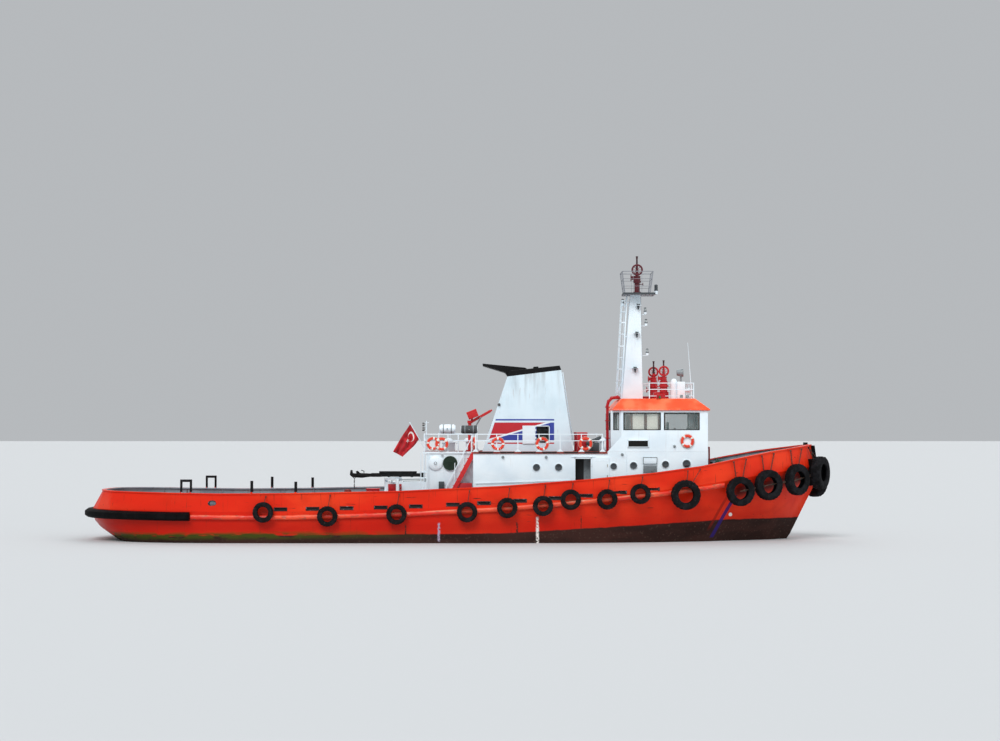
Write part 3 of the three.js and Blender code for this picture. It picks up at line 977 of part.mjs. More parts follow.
const BITTS = { aft: 13200, fore: 13900, y: -1900, top: 3960, barZ: 3780 }
const bitt = onDeck(join(box(BITTS.aft - 220, BITTS.fore + 220, BITTS.y - 200, BITTS.y + 200, 1000, 3290),
  ...[BITTS.aft, BITTS.fore].map(x => rod(at(x, BITTS.y, 3200), at(x, BITTS.y, BITTS.top), 120, 10)),
  rod(at(BITTS.aft - 250, BITTS.y, BITTS.barZ), at(BITTS.fore + 250, BITTS.y, BITTS.barZ), 60, 8)))
add('bitts_stbd', bitt, paints.black)
add('bitts_port', mirrored(bitt), paints.black)

// Boat deck: rails, life rafts on their stand, flagstaff and flag
const RAIL = { top: 5450, middle: 5100, size: 44, pitch: 1080 }
function railRun(points) {
  const parts = []
  points.slice(1).forEach((point, i) => {
    const from = points[i]
    const count = Math.max(1, Math.round(from.distanceTo(point) / RAIL.pitch))
    for (let k = i === 0 ? 0 : 1; k <= count; k++) {
      const foot = from.clone().lerp(point, k / count)
      parts.push(bar(foot.clone().setZ(ON_BOAT_DECK), foot.clone().setZ(RAIL.top), RAIL.size, RAIL.size))
    }
    for (const z of [RAIL.middle, RAIL.top - 20]) {
      parts.push(bar(from.clone().setZ(z), point.clone().setZ(z), 38, 38, UP))
    }
  })
  return join(...parts)
}
const RAIL_Y = 2960
const AFTER_RAIL_Y = 2080
const RAIL_BUOYS = [[1890, 4940], [4140, 4940], [6340, 4950]]
const AFTER_BUOYS = [[-1420, AFTER_RAIL_Y + 65, 4950], [-980, AFTER_RAIL_Y + 120, 4930]]
const sideRail = join(railRun([at(7200, -RAIL_Y, 0), at(760, -RAIL_Y, 0)]),
  ...RAIL_BUOYS.map(([x, z]) => lifebuoy(x, -RAIL_Y - 66, z)))
add('rail_stbd', sideRail, paints.white)
add('rail_port', mirrored(sideRail), paints.white)
const AFTER_RAIL = [[560, -AFTER_RAIL_Y], [-1880, -AFTER_RAIL_Y], [-1880, AFTER_RAIL_Y], [560, AFTER_RAIL_Y]]
add('rail_aft', join(railRun(AFTER_RAIL.map(([x, y]) => at(x, y, 0))),
  ...AFTER_BUOYS.map(([x, y, z]) => lifebuoy(x, -y, z))), paints.white)
const RAFTS = [{ aft: -1120, fore: -300, radius: 230 }, { aft: -20, fore: 840, radius: 200 }]
const RAFT_Y = -1350
const RAFT_SEAT = 5480
const raftLegs = [-1150, -150, 820].map(x =>
  box(x - 30, x + 30, RAFT_Y - 230, RAFT_Y + 230, ON_BOAT_DECK, RAFT_SEAT))
const raftStand = join(...raftLegs, box(-1180, 850, RAFT_Y - 60, RAFT_Y + 60, RAFT_SEAT - 80, RAFT_SEAT))
const rafts = RAFTS.map(({ aft, fore, radius }) => {
  const z = RAFT_SEAT - 10 + radius
  return join(rod(at(aft + 60, RAFT_Y, z), at(fore - 60, RAFT_Y, z), radius, 12),
    rod(at(aft, RAFT_Y, z), at(fore, RAFT_Y, z), radius * 0.8, 12))
})
add('liferafts', join(raftStand, ...rafts), paints.white)
const STAFF = { footX: -1840, y: -60, rake: 0.583, radius: 25, top: 6050 }
const staffX = z => STAFF.footX - (z - BOAT_DECK_Z) * STAFF.rake
const onStaff = z => at(staffX(z), STAFF.y, z)
const staff = rod(onStaff(BOAT_DECK_Z - 50), onStaff(STAFF.top), STAFF.radius, 8)
const staffFoot = box(-1857, -1700, STAFF.y - 25, STAFF.y + 25, ON_BOAT_DECK, 4610)
const staffLow = staff.intersect(box(-4000, 0, -100, 100, ON_BOAT_DECK, 7000))
add('flagstaff', join(staffLow, staffFoot), paints.white)
const LUFF_OFF = 28.4
const luff = z => [staffX(z) - LUFF_OFF, z]
const FLAG_OUTLINE = [
  luff(5950), luff(5280), [-2420, 4950], [-3150, 4330], [-3540, 4320], [-3590, 4480], [-2960, 5800]
]
add('flag', acrossY(FLAG_OUTLINE, STAFF.y - 30, STAFF.y + 30), paints.cloth)

export default tug
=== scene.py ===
import json
import math

import bmesh
import bpy
from mathutils import Matrix, Vector
from mathutils.bvhtree import BVHTree

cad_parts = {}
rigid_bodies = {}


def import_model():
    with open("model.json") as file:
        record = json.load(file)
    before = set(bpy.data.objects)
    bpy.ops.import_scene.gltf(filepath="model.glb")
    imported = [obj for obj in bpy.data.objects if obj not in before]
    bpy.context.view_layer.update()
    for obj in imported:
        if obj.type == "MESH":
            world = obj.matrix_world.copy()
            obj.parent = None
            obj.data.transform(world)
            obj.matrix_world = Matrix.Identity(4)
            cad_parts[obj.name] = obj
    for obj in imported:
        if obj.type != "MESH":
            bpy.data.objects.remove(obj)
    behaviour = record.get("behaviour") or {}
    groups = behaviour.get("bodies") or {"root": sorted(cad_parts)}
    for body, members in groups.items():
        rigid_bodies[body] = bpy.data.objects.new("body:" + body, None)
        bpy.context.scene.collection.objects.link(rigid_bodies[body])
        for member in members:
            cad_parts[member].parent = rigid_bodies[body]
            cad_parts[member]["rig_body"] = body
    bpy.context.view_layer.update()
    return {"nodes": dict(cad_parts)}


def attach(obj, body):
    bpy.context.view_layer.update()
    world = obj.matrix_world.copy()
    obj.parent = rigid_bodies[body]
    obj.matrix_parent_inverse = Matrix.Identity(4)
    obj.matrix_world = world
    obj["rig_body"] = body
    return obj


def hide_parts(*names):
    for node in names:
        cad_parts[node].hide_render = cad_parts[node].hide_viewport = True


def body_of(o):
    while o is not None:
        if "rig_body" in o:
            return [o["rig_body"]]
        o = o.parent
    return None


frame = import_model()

SCENE = bpy.context.scene
PHOTO_WIDE = 1000
SENSOR = 36.0
FOCAL_PIXELS = 1990.0
SIDES = {"stbd": -1, "port": 1}

# Camera at the photograph's distance and height, looking at the starboard side
lens = bpy.data.cameras.new("photo_lens")
lens.sensor_width = SENSOR
lens.lens = SENSOR * FOCAL_PIXELS / PHOTO_WIDE
lens.clip_end = 1000.0
camera = bpy.data.objects.new("photo_camera", lens)
camera.location = (2.0, -104.0, 5.65)
camera.rotation_euler = (math.radians(91.71), 0.0, 0.0)
SCENE.collection.objects.link(camera)
SCENE.camera = camera

SCENE.view_settings.view_transform = "Standard"
SCENE.view_settings.look = "None"


# Colours, nodes and materials

def linear(code):
    """An sRGB hex colour as the linear RGBA that Blender's sockets take; a socket stays as it is."""
    if not isinstance(code, str):
        return code
    channels = [int(code[i:i + 2], 16) / 255 for i in (1, 3, 5)]
    return tuple(c / 12.92 if c <= 0.04045 else ((c + 0.055) / 1.055) ** 2.4 for c in channels) + (1.0,)


def add_node(tree, kind, inputs=None, **settings):
    """Adds a node with its settings; an input is a value, or another node's socket to link."""
    made = tree.nodes.new(kind)
    for key, value in settings.items():
        setattr(made, key, value)
    for key, value in (inputs or {}).items():
        if isinstance(value, bpy.types.NodeSocket):
            tree.links.new(value, made.inputs[key])
        else:
            made.inputs[key].default_value = value
    return made


def blank_material(name, roughness, metallic=0.0, **sockets):
    """A material with one Principled shader, its tree, and its shader."""
    made = bpy.data.materials.new(name)
    made.use_nodes = True
    tree = made.node_tree
    shader = tree.nodes["Principled BSDF"]
    shader.inputs["Roughness"].default_value = roughness
    shader.inputs["Metallic"].default_value = metallic
    for key, value in sockets.items():
        shader.inputs[key.replace("_", " ")].default_value = value
    return made, tree, shader


def object_place(tree, stretch=(1.0, 1.0, 1.0)):
    """The point on the vessel in metres, stretched so that a pattern runs long along one axis."""
    place = add_node(tree, "ShaderNodeTexCoord").outputs["Object"]
    return add_node(tree, "ShaderNodeMapping", {"Vector": place, "Scale": stretch}).outputs["Vector"]


def vessel_axes(tree):
    """X, Y and Z on the vessel in metres."""
    place = add_node(tree, "ShaderNodeTexCoord").outputs["Object"]
    return add_node(tree, "ShaderNodeSeparateXYZ", {"Vector": place}).outputs


def face_normal(tree):
    """The surface's normal, and how far it points up."""
    normal = add_node(tree, "ShaderNodeNewGeometry").outputs["Normal"]
    return normal, add_node(tree, "ShaderNodeSeparateXYZ", {"Vector": normal}).outputs["Z"]


def patches(tree, size_mm, low, high, stretch=(1.0, 1.0, 1.0), detail=4.0, fade=0.5):
    """A 0 to 1 mask of blotches about size_mm across, wider where low and high are lower."""
    blotch = add_node(tree, "ShaderNodeTexNoise", {
        "Vector": object_place(tree, stretch), "Scale": 1000.0 / size_mm, "Detail": detail,
        "Roughness": fade})
    return add_node(tree, "ShaderNodeMapRange", {
        "Value": blotch.outputs["Fac"], "From Min": low, "From Max": high},
        interpolation_type="SMOOTHSTEP").outputs[0]


def ramps(tree, *rows):
    """The product of ramps, each a value with where it is 0 and where it is 1."""
    whole = 1.0
    for value, none, full in rows:
        ramp = add_node(tree, "ShaderNodeMapRange", {"Value": value, "From Min": none, "From Max": full})
        whole = add_node(tree, "ShaderNodeMath", {0: ramp.outputs[0], 1: whole},
                         operation="MULTIPLY").outputs[0]
    return whole


def band(tree, value, low, high, soft=0.02):
    """1 between low and high, with edges soft metres wide."""
    return ramps(tree, (value, low - soft, low + soft), (value, high + soft, high - soft))


def wavy(tree, value, amount, size_mm):
    """The value shifted a little by noise, so that an edge drawn on it isn't ruled."""
    shift = add_node(tree, "ShaderNodeTexNoise", {
        "Vector": object_place(tree), "Scale": 1000.0 / size_mm, "Detail": 5.0}).outputs["Fac"]
    centred = add_node(tree, "ShaderNodeMath", {0: shift, 1: 2 * amount, 2: -amount},
                       operation="MULTIPLY_ADD")
    return add_node(tree, "ShaderNodeMath", {0: value, 1: centred.outputs[0]}, operation="ADD").outputs[0]


def from_lines(tree, value, half_spacing, shift):
    """How far a value is from the nearest of lines that stand every two half spacings from the shift."""
    moved = add_node(tree, "ShaderNodeMath", {0: value, 1: shift}, operation="ADD").outputs[0]
    return add_node(tree, "ShaderNodeMath", {0: moved, 1: half_spacing}, operation="PINGPONG").outputs[0]


def coats(tree, base, *layers):
    """Colours laid over the base in turn, each a hex code or socket shown where its masks multiply to 1."""
    tone = linear(base)
    for colour, share, *masks in layers:
        for mask in masks:
            share = add_node(tree, "ShaderNodeMath", {0: share, 1: mask}, operation="MULTIPLY").outputs[0]
        tone = add_node(tree, "ShaderNodeMix", {"Factor": share, "A": tone, "B": linear(colour)},
                        data_type="RGBA").outputs["Result"]
    return tone


def painted(tree, shader, tone, height=None, depth_mm=0.0):
    """Gives the shader its colour, and the bump of a 0 to 1 height that stands depth_mm proud."""
    tree.links.new(tone, shader.inputs["Base Color"])
    if height is not None:
        bump = add_node(tree, "ShaderNodeBump",
                        {"Height": height, "Distance": depth_mm / 1000.0, "Strength": 1.0})
        tree.links.new(bump.outputs["Normal"], shader.inputs["Normal"])


def mottled(name, roughness, colour, *layers, relief=None, depth_mm=0.0, metallic=0.0, **sockets):
    """A finish with other colours in blotches on it.

    A layer is a colour, its share and what patches takes after the tree; the relief has only the last.
    """
    made, tree, shader = blank_material(name, roughness, metallic, **sockets)
    tone = coats(tree, colour, *((over, patches(tree, *blotch), share) for over, share, *blotch in layers))
    painted(tree, shader, tone, relief and patches(tree, *relief), depth_mm)
    return made


def enamel(name, colour, faded, roughness, stain, stain_share, grain_mm, dents_mm):
    """Brushed marine enamel: faded patches, dirt that has run down, and plating that isn't quite flat."""
    made, tree, shader = blank_material(name, roughness, Coat_Weight=0.15, Coat_Roughness=0.2)
    runs = patches(tree, 90.0, 0.56, 0.8, (1.0, 1.0, 0.07), 5.0, 0.6)
    spread = patches(tree, 1700.0, 0.42, 0.66)
    grime = add_node(tree, "ShaderNodeMath", {0: runs, 1: spread}, operation="MULTIPLY").outputs[0]
    tone = coats(tree, colour, (faded, patches(tree, grain_mm, 0.38, 0.7)), (stain, grime, stain_share),
                 (stain, patches(tree, 45.0, 0.72, 0.78), stain_share * 0.8))
    rough = add_node(tree, "ShaderNodeMath", {0: grime, 1: 0.35 * stain_share, 2: roughness},
                     operation="MULTIPLY_ADD")
    tree.links.new(rough.outputs[0], shader.inputs["Roughness"])
    painted(tree, shader, tone, patches(tree, 1300.0, 0.2, 0.8, detail=2.0), dents_mm)
    return made


def gear_enamel(name, colour, chipped, roughness=0.42, share=0.7, metallic=0.0, specular=0.5):
    """Enamel or bare metal of deck gear, chipped at use and dirty in patches."""
    return mottled(name, roughness, colour, (chipped, share, 130.0, 0.58, 0.68),
                   ("#2a211d", 0.45 * share, 60.0, 0.62, 0.75, (1.0, 1.0, 0.3)),
                   relief=(70.0, 0.3, 0.7), depth_mm=2.0, metallic=metallic, Specular_IOR_Level=specular)


def tyre_rubber(name, dust, colour="#0f0e0f"):
    """Old truck tyre: carbon black gone grey, with dust in its hollows and salt dried on the walls."""
    return mottled(name, 0.8, colour, ("#1c1c1f", 1.0, 300.0, 0.4, 0.66), (dust, 0.45, 90.0, 0.58, 0.75),
                   relief=(25.0, 0.3, 0.7), depth_mm=3.0, Specular_IOR_Level=0.12)


# Meshes: shapes added to a bmesh, and the piece that it becomes

# Points closer than this are one, in metres
WELD = 0.00005


def turned_to(axis, centre=(0, 0, 0)):
    """The matrix that turns the Z axis to this axis and moves the origin to the centre."""
    return Matrix.Translation(centre) @ Vector(axis).to_track_quat("Z", "Y").to_matrix().to_4x4()


def slab(bm, low, high, edge=0.0, finish=0, segments=2, matrix=None):
    """A box between opposite corners, given in any order, with rounded edges where edge is given."""
    low, high = (Vector([pick(pair) for pair in zip(low, high)]) for pick in (min, max))
    size = Matrix.Diagonal((*(high - low), 1.0))
    corners = bmesh.ops.create_cube(bm, size=1.0,
                                    matrix=Matrix.Translation((low + high) / 2) @ size)["verts"]
    faces = list({f for v in corners for f in v.link_faces})
    if edge:
        edges = list({e for v in corners for e in v.link_edges})
        made = bmesh.ops.bevel(bm, geom=edges, offset=edge, segments=segments, profile=0.5, affect="EDGES",
                               material=-1, offset_type="OFFSET")
        faces = list({f for v in made["verts"] for f in v.link_faces} | {f for f in faces if f.is_valid})
    for face in faces:
        face.material_index = finish
    if matrix is not None:
        bmesh.ops.transform(bm, matrix=matrix, verts=list({v for f in faces for v in f.verts}))


def wall_bars(bm, near, far, bars, edge=0.0, finish=0, segments=2):
    """Flat bars on a side wall between two distances across, each as x and z of its two corners."""
    for x0, z0, x1, z1 in bars:
        slab(bm, (x0, near, z0), (x1, far, z1), edge, finish, segments)


def rod(bm, start, end, radius, sides=12, end_radius=None, finish=0):
    """A round rod or cone between two points."""
    start, end = Vector(start), Vector(end)
    made = bmesh.ops.create_cone(
        bm, cap_ends=True, segments=sides, radius1=radius,
        radius2=radius if end_radius is None else end_radius,
        depth=(end - start).length, matrix=turned_to(end - start, (start + end) / 2))
    for face in {f for v in made["verts"] for f in v.link_faces}:
        face.material_index = finish


def pipe(bm, points, radius, sides=10, finish=0):
    """Rods from point to point with a ball at each bend."""
    for start, end in zip(points, points[1:]):
        rod(bm, start, end, radius, sides, finish=finish)
    for point in points[1:-1]:
        made = bmesh.ops.create_uvsphere(bm, u_segments=sides, v_segments=max(4, sides // 2),
                                         radius=radius * 1.02, matrix=Matrix.Translation(point))
        for face in {f for v in made["verts"] for f in v.link_faces}:
            face.material_index = finish


def lathe(bm, profile, centre, axis, steps=24, finish=0):
    """Spins a profile of (radius, height along the axis) points about the axis."""
    frame_of = turned_to(axis, centre)
    points = [bm.verts.new(frame_of @ Vector((radius, 0.0, height))) for radius, height in profile]
    edges = [bm.edges.new(pair) for pair in zip(points, points[1:])]
    before = set(bm.faces)
    bmesh.ops.spin(bm, geom=points + edges, cent=Vector(centre), axis=Vector(axis).normalized(),
                   dvec=(0, 0, 0),
                   angle=2 * math.pi, steps=steps, use_merge=True)
    made = [f for f in bm.faces if f not in before]
    bmesh.ops.remove_doubles(bm, verts=list({v for f in made for v in f.verts}), dist=WELD)
    made = [f for f in made if f.is_valid]
    for face in made:
        face.material_index = finish
    return made


def hoop(bm, centre, axis, ring_radius, wire_radius, steps=28, sides=10, finish=0):
    """A ring of round section."""
    profile = [(ring_radius + wire_radius * math.cos(2 * math.pi * k / sides),
                wire_radius * math.sin(2 * math.pi * k / sides)) for k in range(sides + 1)]
    lathe(bm, profile, centre, axis, steps, finish)


def cushion_ring(bm, centre, axis, ring_radius, half_wide, half_deep, steps=40, finish=0):
    """A ring whose section is a square with well rounded corners."""
    profile = []
    for k in range(17):
        across, along = math.cos(math.pi * k / 8), math.sin(math.pi * k / 8)
        profile.append((ring_radius + half_wide * math.copysign(abs(across) ** 0.5, across),
                        half_deep * math.copysign(abs(along) ** 0.5, along)))
    return lathe(bm, profile, centre, axis, steps, finish)


def swept(bm, section, places):
    """Carries a section of (u, v) points through a row of matrices, and caps its ends."""
    corners = [bm.verts.new(places[0] @ Vector((u, v, 0.0))) for u, v in section]
    first = [bm.edges.new((corners[k], corners[(k + 1) % len(corners)])) for k in range(len(corners))]
    ring = first
    for here, there in zip(places, places[1:]):
        made = bmesh.ops.extrude_edge_only(bm, edges=ring)["geom"]
        ring = [e for e in made if isinstance(e, bmesh.types.BMEdge) and all(v in made for v in e.verts)]
        moved = [v for v in made if isinstance(v, bmesh.types.BMVert)]
        bmesh.ops.transform(bm, matrix=there @ here.inverted(), verts=moved)
    bmesh.ops.contextual_create(bm, geom=first)
    bmesh.ops.contextual_create(bm, geom=ring)


def plate(bm, outline, thickness):
    """A flat plate in the first finish from an outline of points, as thick as the vector says."""
    face = bm.faces.new([bm.verts.new(p) for p in outline])
    made = bmesh.ops.extrude_face_region(bm, geom=[face])["geom"]
    bmesh.ops.translate(bm, vec=Vector(thickness),
                        verts=[v for v in made if isinstance(v, bmesh.types.BMVert)])


def new_piece(name, bm, finishes, body="root", sharp=38.0):
    """The mesh as a piece that rides on a body, smooth but for the edges sharper than the angle."""
    bmesh.ops.recalc_face_normals(bm, faces=bm.faces)
    for face in bm.faces:
        face.smooth = True
    for edge in bm.edges:
        edge.smooth = len(edge.link_faces) == 2 and edge.calc_face_angle(0.0) < math.radians(sharp)
    mesh = bpy.data.meshes.new(name)
    bm.to_mesh(mesh)
    bm.free()
    for finish in finishes:
        mesh.materials.append(finish)
    piece = bpy.data.objects.new(name, mesh)
    SCENE.collection.objects.link(piece)
    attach(piece, body)
    return piece


def dressed(node, name, finishes, edge=0.0, sharp=38.0, flat=True):
    """A merged and smooth copy of a CAD node that stands for it, its edges eased where edge is given."""
    bm = bmesh.new()
    bm.from_mesh(frame["nodes"][node].data)
    bmesh.ops.remove_doubles(bm, verts=bm.verts, dist=0.0001)
    if flat:
        bmesh.ops.dissolve_limit(bm, angle_limit=math.radians(0.4), verts=bm.verts, edges=bm.edges)
    piece = new_piece(name, bm, finishes, body_of(frame["nodes"][node])[0], sharp)
    if edge:
        ease = piece.modifiers.new("eased_edges", "BEVEL")
        ease.width = edge
        ease.segments = 2
        ease.limit_method = "ANGLE"
        ease.angle_limit = math.radians(35)
        ease.harden_normals = False
        ease.use_clamp_overlap = True
    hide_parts(node)
    return piece


# Finishes of the hull, each named for the real material

ORANGE = "#dc250a"
ORANGE_FADED = "#ea3c18"
# Near black of the painted shade in the bow tyres' holes
TYRE_HOLE_SHADE = "#2b0d0a"
WHITE = "#edf9ff"
# The row of bow tyres climbs forward from here; these are the heights there of the painted shade in their
# holes
TYRE_ROW_X, TYRE_ROW_CLIMB = 14.1, 0.177
TYRE_ROW_SHADE_HEIGHTS = (2.3, 2.85)
# Marks that water leaves on the shell: x, half width, lowest and highest z, side, colour
DISCHARGES = [
    (3.87, 0.09, -0.1, 1.3, "stbd", "#e8e2dc"),
    (-1.05, 0.08, 0.1, 1.0, "stbd", "#a89ab0"),
    (-2.7, 0.05, 0.1, 0.9, "stbd", "#3a241c"),
    (2.85, 0.06, 0.15, 1.05, "stbd", "#3a241c"),
    (6.05, 0.04, 0.75, 1.35, "stbd", "#5c2413"),
    (-1.2, 0.07, 0.1, 1.1, "port", "#a89ab0"),
    (5.1, 0.08, 0.0, 1.2, "port", "#d8d0c8"),
]


def tyre_hole_shade_masks(tree, x, z):
    """Masks of the painted shade in the big bow tyres' holes: a near-black band on the shell at the height
    of their middles.
    """
    level = add_node(tree, "ShaderNodeMath", {0: x, 1: -TYRE_ROW_CLIMB, 2: z},
                     operation="MULTIPLY_ADD").outputs[0]
    low, high = (height - TYRE_ROW_CLIMB * TYRE_ROW_X for height in TYRE_ROW_SHADE_HEIGHTS)
    return band(tree, x, 13.7, 18.2, 0.3), band(tree, level, low, high, 0.15), 0.8


def height_above_waterline(tree, x, z):
    """Metres above the painted waterline, which climbs to the bow and isn't quite ruled."""
    above = wavy(tree, z, 0.05, 700.0)
    for aft, fore, low, high in ((-19.0, 2.0, 0.3, 0.5), (2.0, 13.5, 0.0, 0.62)):
        line = add_node(tree, "ShaderNodeMapRange", {
            "Value": x, "From Min": aft, "From Max": fore, "To Min": low, "To Max": high}).outputs[0]
        above = add_node(tree, "ShaderNodeMath", {0: above, 1: line}, operation="SUBTRACT").outputs[0]
    return above


def hull_enamel():
    """Orange topside enamel over dark antifouling, scuffed by tyres, streaked by water, weedy aft, with
    painted shade low on the topsides and in the bow tyres' holes.
    """
    made, tree, shader = blank_material("hull_enamel", 0.42, Specular_IOR_Level=0.16)
    x, y, z = vessel_axes(tree)
    worn_zone = band(tree, z, 0.9, 2.4, 0.5)
    wet = add_node(tree, "ShaderNodeMapRange", {
        "Value": z, "From Min": 0.1, "From Max": 1.7, "To Min": 0.85, "To Max": 0.1}).outputs[0]
    topsides = coats(
        tree, ORANGE,
        (ORANGE_FADED, patches(tree, 2600.0, 0.4, 0.72, (0.5, 1.0, 1.0))),
        ("#c42206", patches(tree, 900.0, 0.5, 0.75, (0.35, 1.0, 1.0)), 0.6),
        # Darker red from 0.2 to 1.4 m up is painted shade low on the topsides, under the rubbing belt
        ("#b01003", band(tree, z, 0.2, 1.4, 0.5), 0.65),
        ("#4a1f16", patches(tree, 160.0, 0.64, 0.72, (0.12, 1.0, 1.6), 6.0, 0.65), worn_zone, 0.8),
        ("#5c2413", patches(tree, 130.0, 0.6, 0.74, (1.0, 1.0, 0.05), 5.0, 0.6), wet),
        ("#3d1a12", patches(tree, 60.0, 0.7, 0.76, (0.6, 1.0, 1.0)), worn_zone))
    above = height_above_waterline(tree, x, z)
    under = ramps(tree, (above, 0.02, -0.03))
    bottom = coats(tree, "#2b1814", ("#38201b", patches(tree, 800.0, 0.4, 0.62, (0.25, 1.0, 1.0))),
                   ("#54423a", patches(tree, 110.0, 0.58, 0.7), 0.5))
    # The painted stripe at the bow and its shade lean aft as they rise
    lean = add_node(tree, "ShaderNodeMath", {0: z, 1: -0.55, 2: x}, operation="MULTIPLY_ADD").outputs[0]
    tone = coats(
        tree, topsides, (bottom, under),
        ("#3f4410", band(tree, above, -0.16, 0.14, 0.09), ramps(tree, (x, -1.0, -9.0)),
         patches(tree, 240.0, 0.35, 0.5, (0.25, 1.0, 1.0))),
        ("#2c1a63", band(tree, lean, 12.52, 12.72, 0.012), band(tree, z, 0.2, 2.35, 0.03), 0.92),
        ("#7b1608", band(tree, lean, 12.15, 12.3, 0.02), band(tree, z, 0.7, 2.2, 0.2), 0.6))
    flanks = {"stbd": ramps(tree, (y, 0.1, -0.1)), "port": ramps(tree, (y, -0.1, 0.1))}
    for place_x, wide, low, high, shown, colour in DISCHARGES:
        streak = band(tree, wavy(tree, x, 0.05, 160.0), place_x - 0.7 * wide, place_x + 0.7 * wide,
                      0.3 * wide)
        tone = coats(tree, tone, (colour, streak, band(tree, z, low, high, 0.05),
                                  patches(tree, 90.0, 0.36, 0.5), flanks[shown]))
    bow_mark = add_node(tree, "ShaderNodeVectorMath", {
        0: object_place(tree, (1.0, 0.0, 1.0)), 1: (13.7, 0.0, 1.36)},
                        operation="DISTANCE").outputs["Value"]
    deck = ramps(tree, (face_normal(tree)[1], 0.75, 0.85), (z, 1.0, 1.2))
    walked = coats(tree, "#6f2a22", ("#8a4234", patches(tree, 1500.0, 0.4, 0.65)),
                   ("#4c2018", patches(tree, 260.0, 0.55, 0.72)),
                   ("#8b7f76", patches(tree, 130.0, 0.66, 0.74), 0.5))
    # The near-black band where the bow tyres hang is painted shade in their holes
    tone = coats(tree, tone, ("#e9e4de", ramps(tree, (wavy(tree, bow_mark, 0.02, 60.0), 0.1, 0.085))),
                 (TYRE_HOLE_SHADE, *tyre_hole_shade_masks(tree, x, z)), (walked, deck))
    dull = add_node(tree, "ShaderNodeMath", {0: under, 1: deck}, operation="MAXIMUM").outputs[0]
    rough = add_node(tree, "ShaderNodeMath", {0: dull, 1: 0.38, 2: 0.34}, operation="MULTIPLY_ADD")
    tree.links.new(rough.outputs[0], shader.inputs["Roughness"])
    seams = add_node(tree, "ShaderNodeMath", {
        0: ramps(tree, (from_lines(tree, x, 1.2, 40.0), 0.02, 0.0)),
        1: ramps(tree, (from_lines(tree, z, 0.9, 4.1), 0.02, 0.0))}, operation="MAXIMUM").outputs[0]
    hollows = add_node(tree, "ShaderNodeMath", {
        0: from_lines(tree, x, 0.3, 40.0), 1: 1.3, 2: patches(tree, 1500.0, 0.2, 0.8, detail=2.0)},
        operation="MULTIPLY_ADD").outputs[0]
    height = add_node(tree, "ShaderNodeMath", {0: seams, 1: 0.3, 2: hollows},
                      operation="MULTIPLY_ADD").outputs[0]
    painted(tree, shader, tone, height, 12.0)
    return made


def bulwark_enamel():
    """Orange outside and on the rail, cool grey on the inner face, both chipped by ropes, with painted
    shade where the bow tyres' holes lie against it.
    """
    made, tree, shader = blank_material("bulwark_enamel", 0.42, Specular_IOR_Level=0.16)
    x, _, z = vessel_axes(tree)
    normal, up = face_normal(tree)
    outward = add_node(tree, "ShaderNodeVectorMath", {0: normal, 1: object_place(tree, (1.0, 1.0, 0.0))},
                       operation="DOT_PRODUCT").outputs["Value"]
    grey = coats(tree, "#7f8f9a", ("#94a3ac", patches(tree, 1200.0, 0.4, 0.62)),
                 ("#5b4a42", patches(tree, 100.0, 0.58, 0.74, (1.0, 1.0, 0.1)), 0.7))
    quarter_gear = ramps(tree, (z, 2.54, 2.55), (x, -8.0, -8.02), (x, -14.1, -14.08))
    tone = coats(
        tree, ORANGE,
        (ORANGE_FADED, patches(tree, 2400.0, 0.38, 0.66, (0.5, 1.0, 1.0))),
        ("#c92707", patches(tree, 700.0, 0.5, 0.75, (0.35, 1.0, 1.0)), 0.5),
        ("#4a1f16", patches(tree, 150.0, 0.62, 0.7, (0.12, 1.0, 1.4), 6.0, 0.65),
         patches(tree, 2100.0, 0.45, 0.55)),
        ("#6b2a16", patches(tree, 110.0, 0.6, 0.72, (1.0, 1.0, 0.06), 5.0, 0.6), 0.55),
        ("#7e3a28", ramps(tree, (up, 0.5, 0.8)), patches(tree, 220.0, 0.4, 0.62, (0.4, 1.0, 1.0)), 0.7),
        # Painted shade in the bow tyres' holes
        (TYRE_HOLE_SHADE, *tyre_hole_shade_masks(tree, x, z)),
        (grey, ramps(tree, (outward, -0.3, -0.5), (up, 0.55, 0.4))),
        ("#101012", quarter_gear))
    height = add_node(tree, "ShaderNodeMath", {
        0: from_lines(tree, x, 0.6, 40.0), 1: 0.8, 2: patches(tree, 1100.0, 0.2, 0.8, detail=2.0)},
        operation="MULTIPLY_ADD").outputs[0]
    painted(tree, shader, tone, height, 9.0)
    return made


def belt_enamel():
    """Heavy steel rubbing belt: orange, paler salmon on its upper faces in patches that are partly worn
    primer and partly a painted highlight, and bare rusty metal along its face.
    """
    made, tree, shader = blank_material("belt_enamel", 0.45)
    tone = coats(
        tree, ORANGE,
        ("#ee4c26", patches(tree, 500.0, 0.4, 0.62, (0.3, 1.0, 1.0))),
        # Paler salmon on the upward faces: partly worn primer, partly a painted highlight along the top
        # edge
        ("#e08a68", ramps(tree, (face_normal(tree)[1], 0.3, 0.7)),
         patches(tree, 420.0, 0.46, 0.64, (0.25, 1.0, 1.0))),
        ("#7c4a36", patches(tree, 130.0, 0.54, 0.66, (0.3, 1.0, 1.0)), 0.55),
        ("#c9b8a6", patches(tree, 90.0, 0.66, 0.72, (0.2, 1.0, 1.0)), 0.4))
    painted(tree, shader, tone, patches(tree, 180.0, 0.3, 0.7), 8.0)
    return made


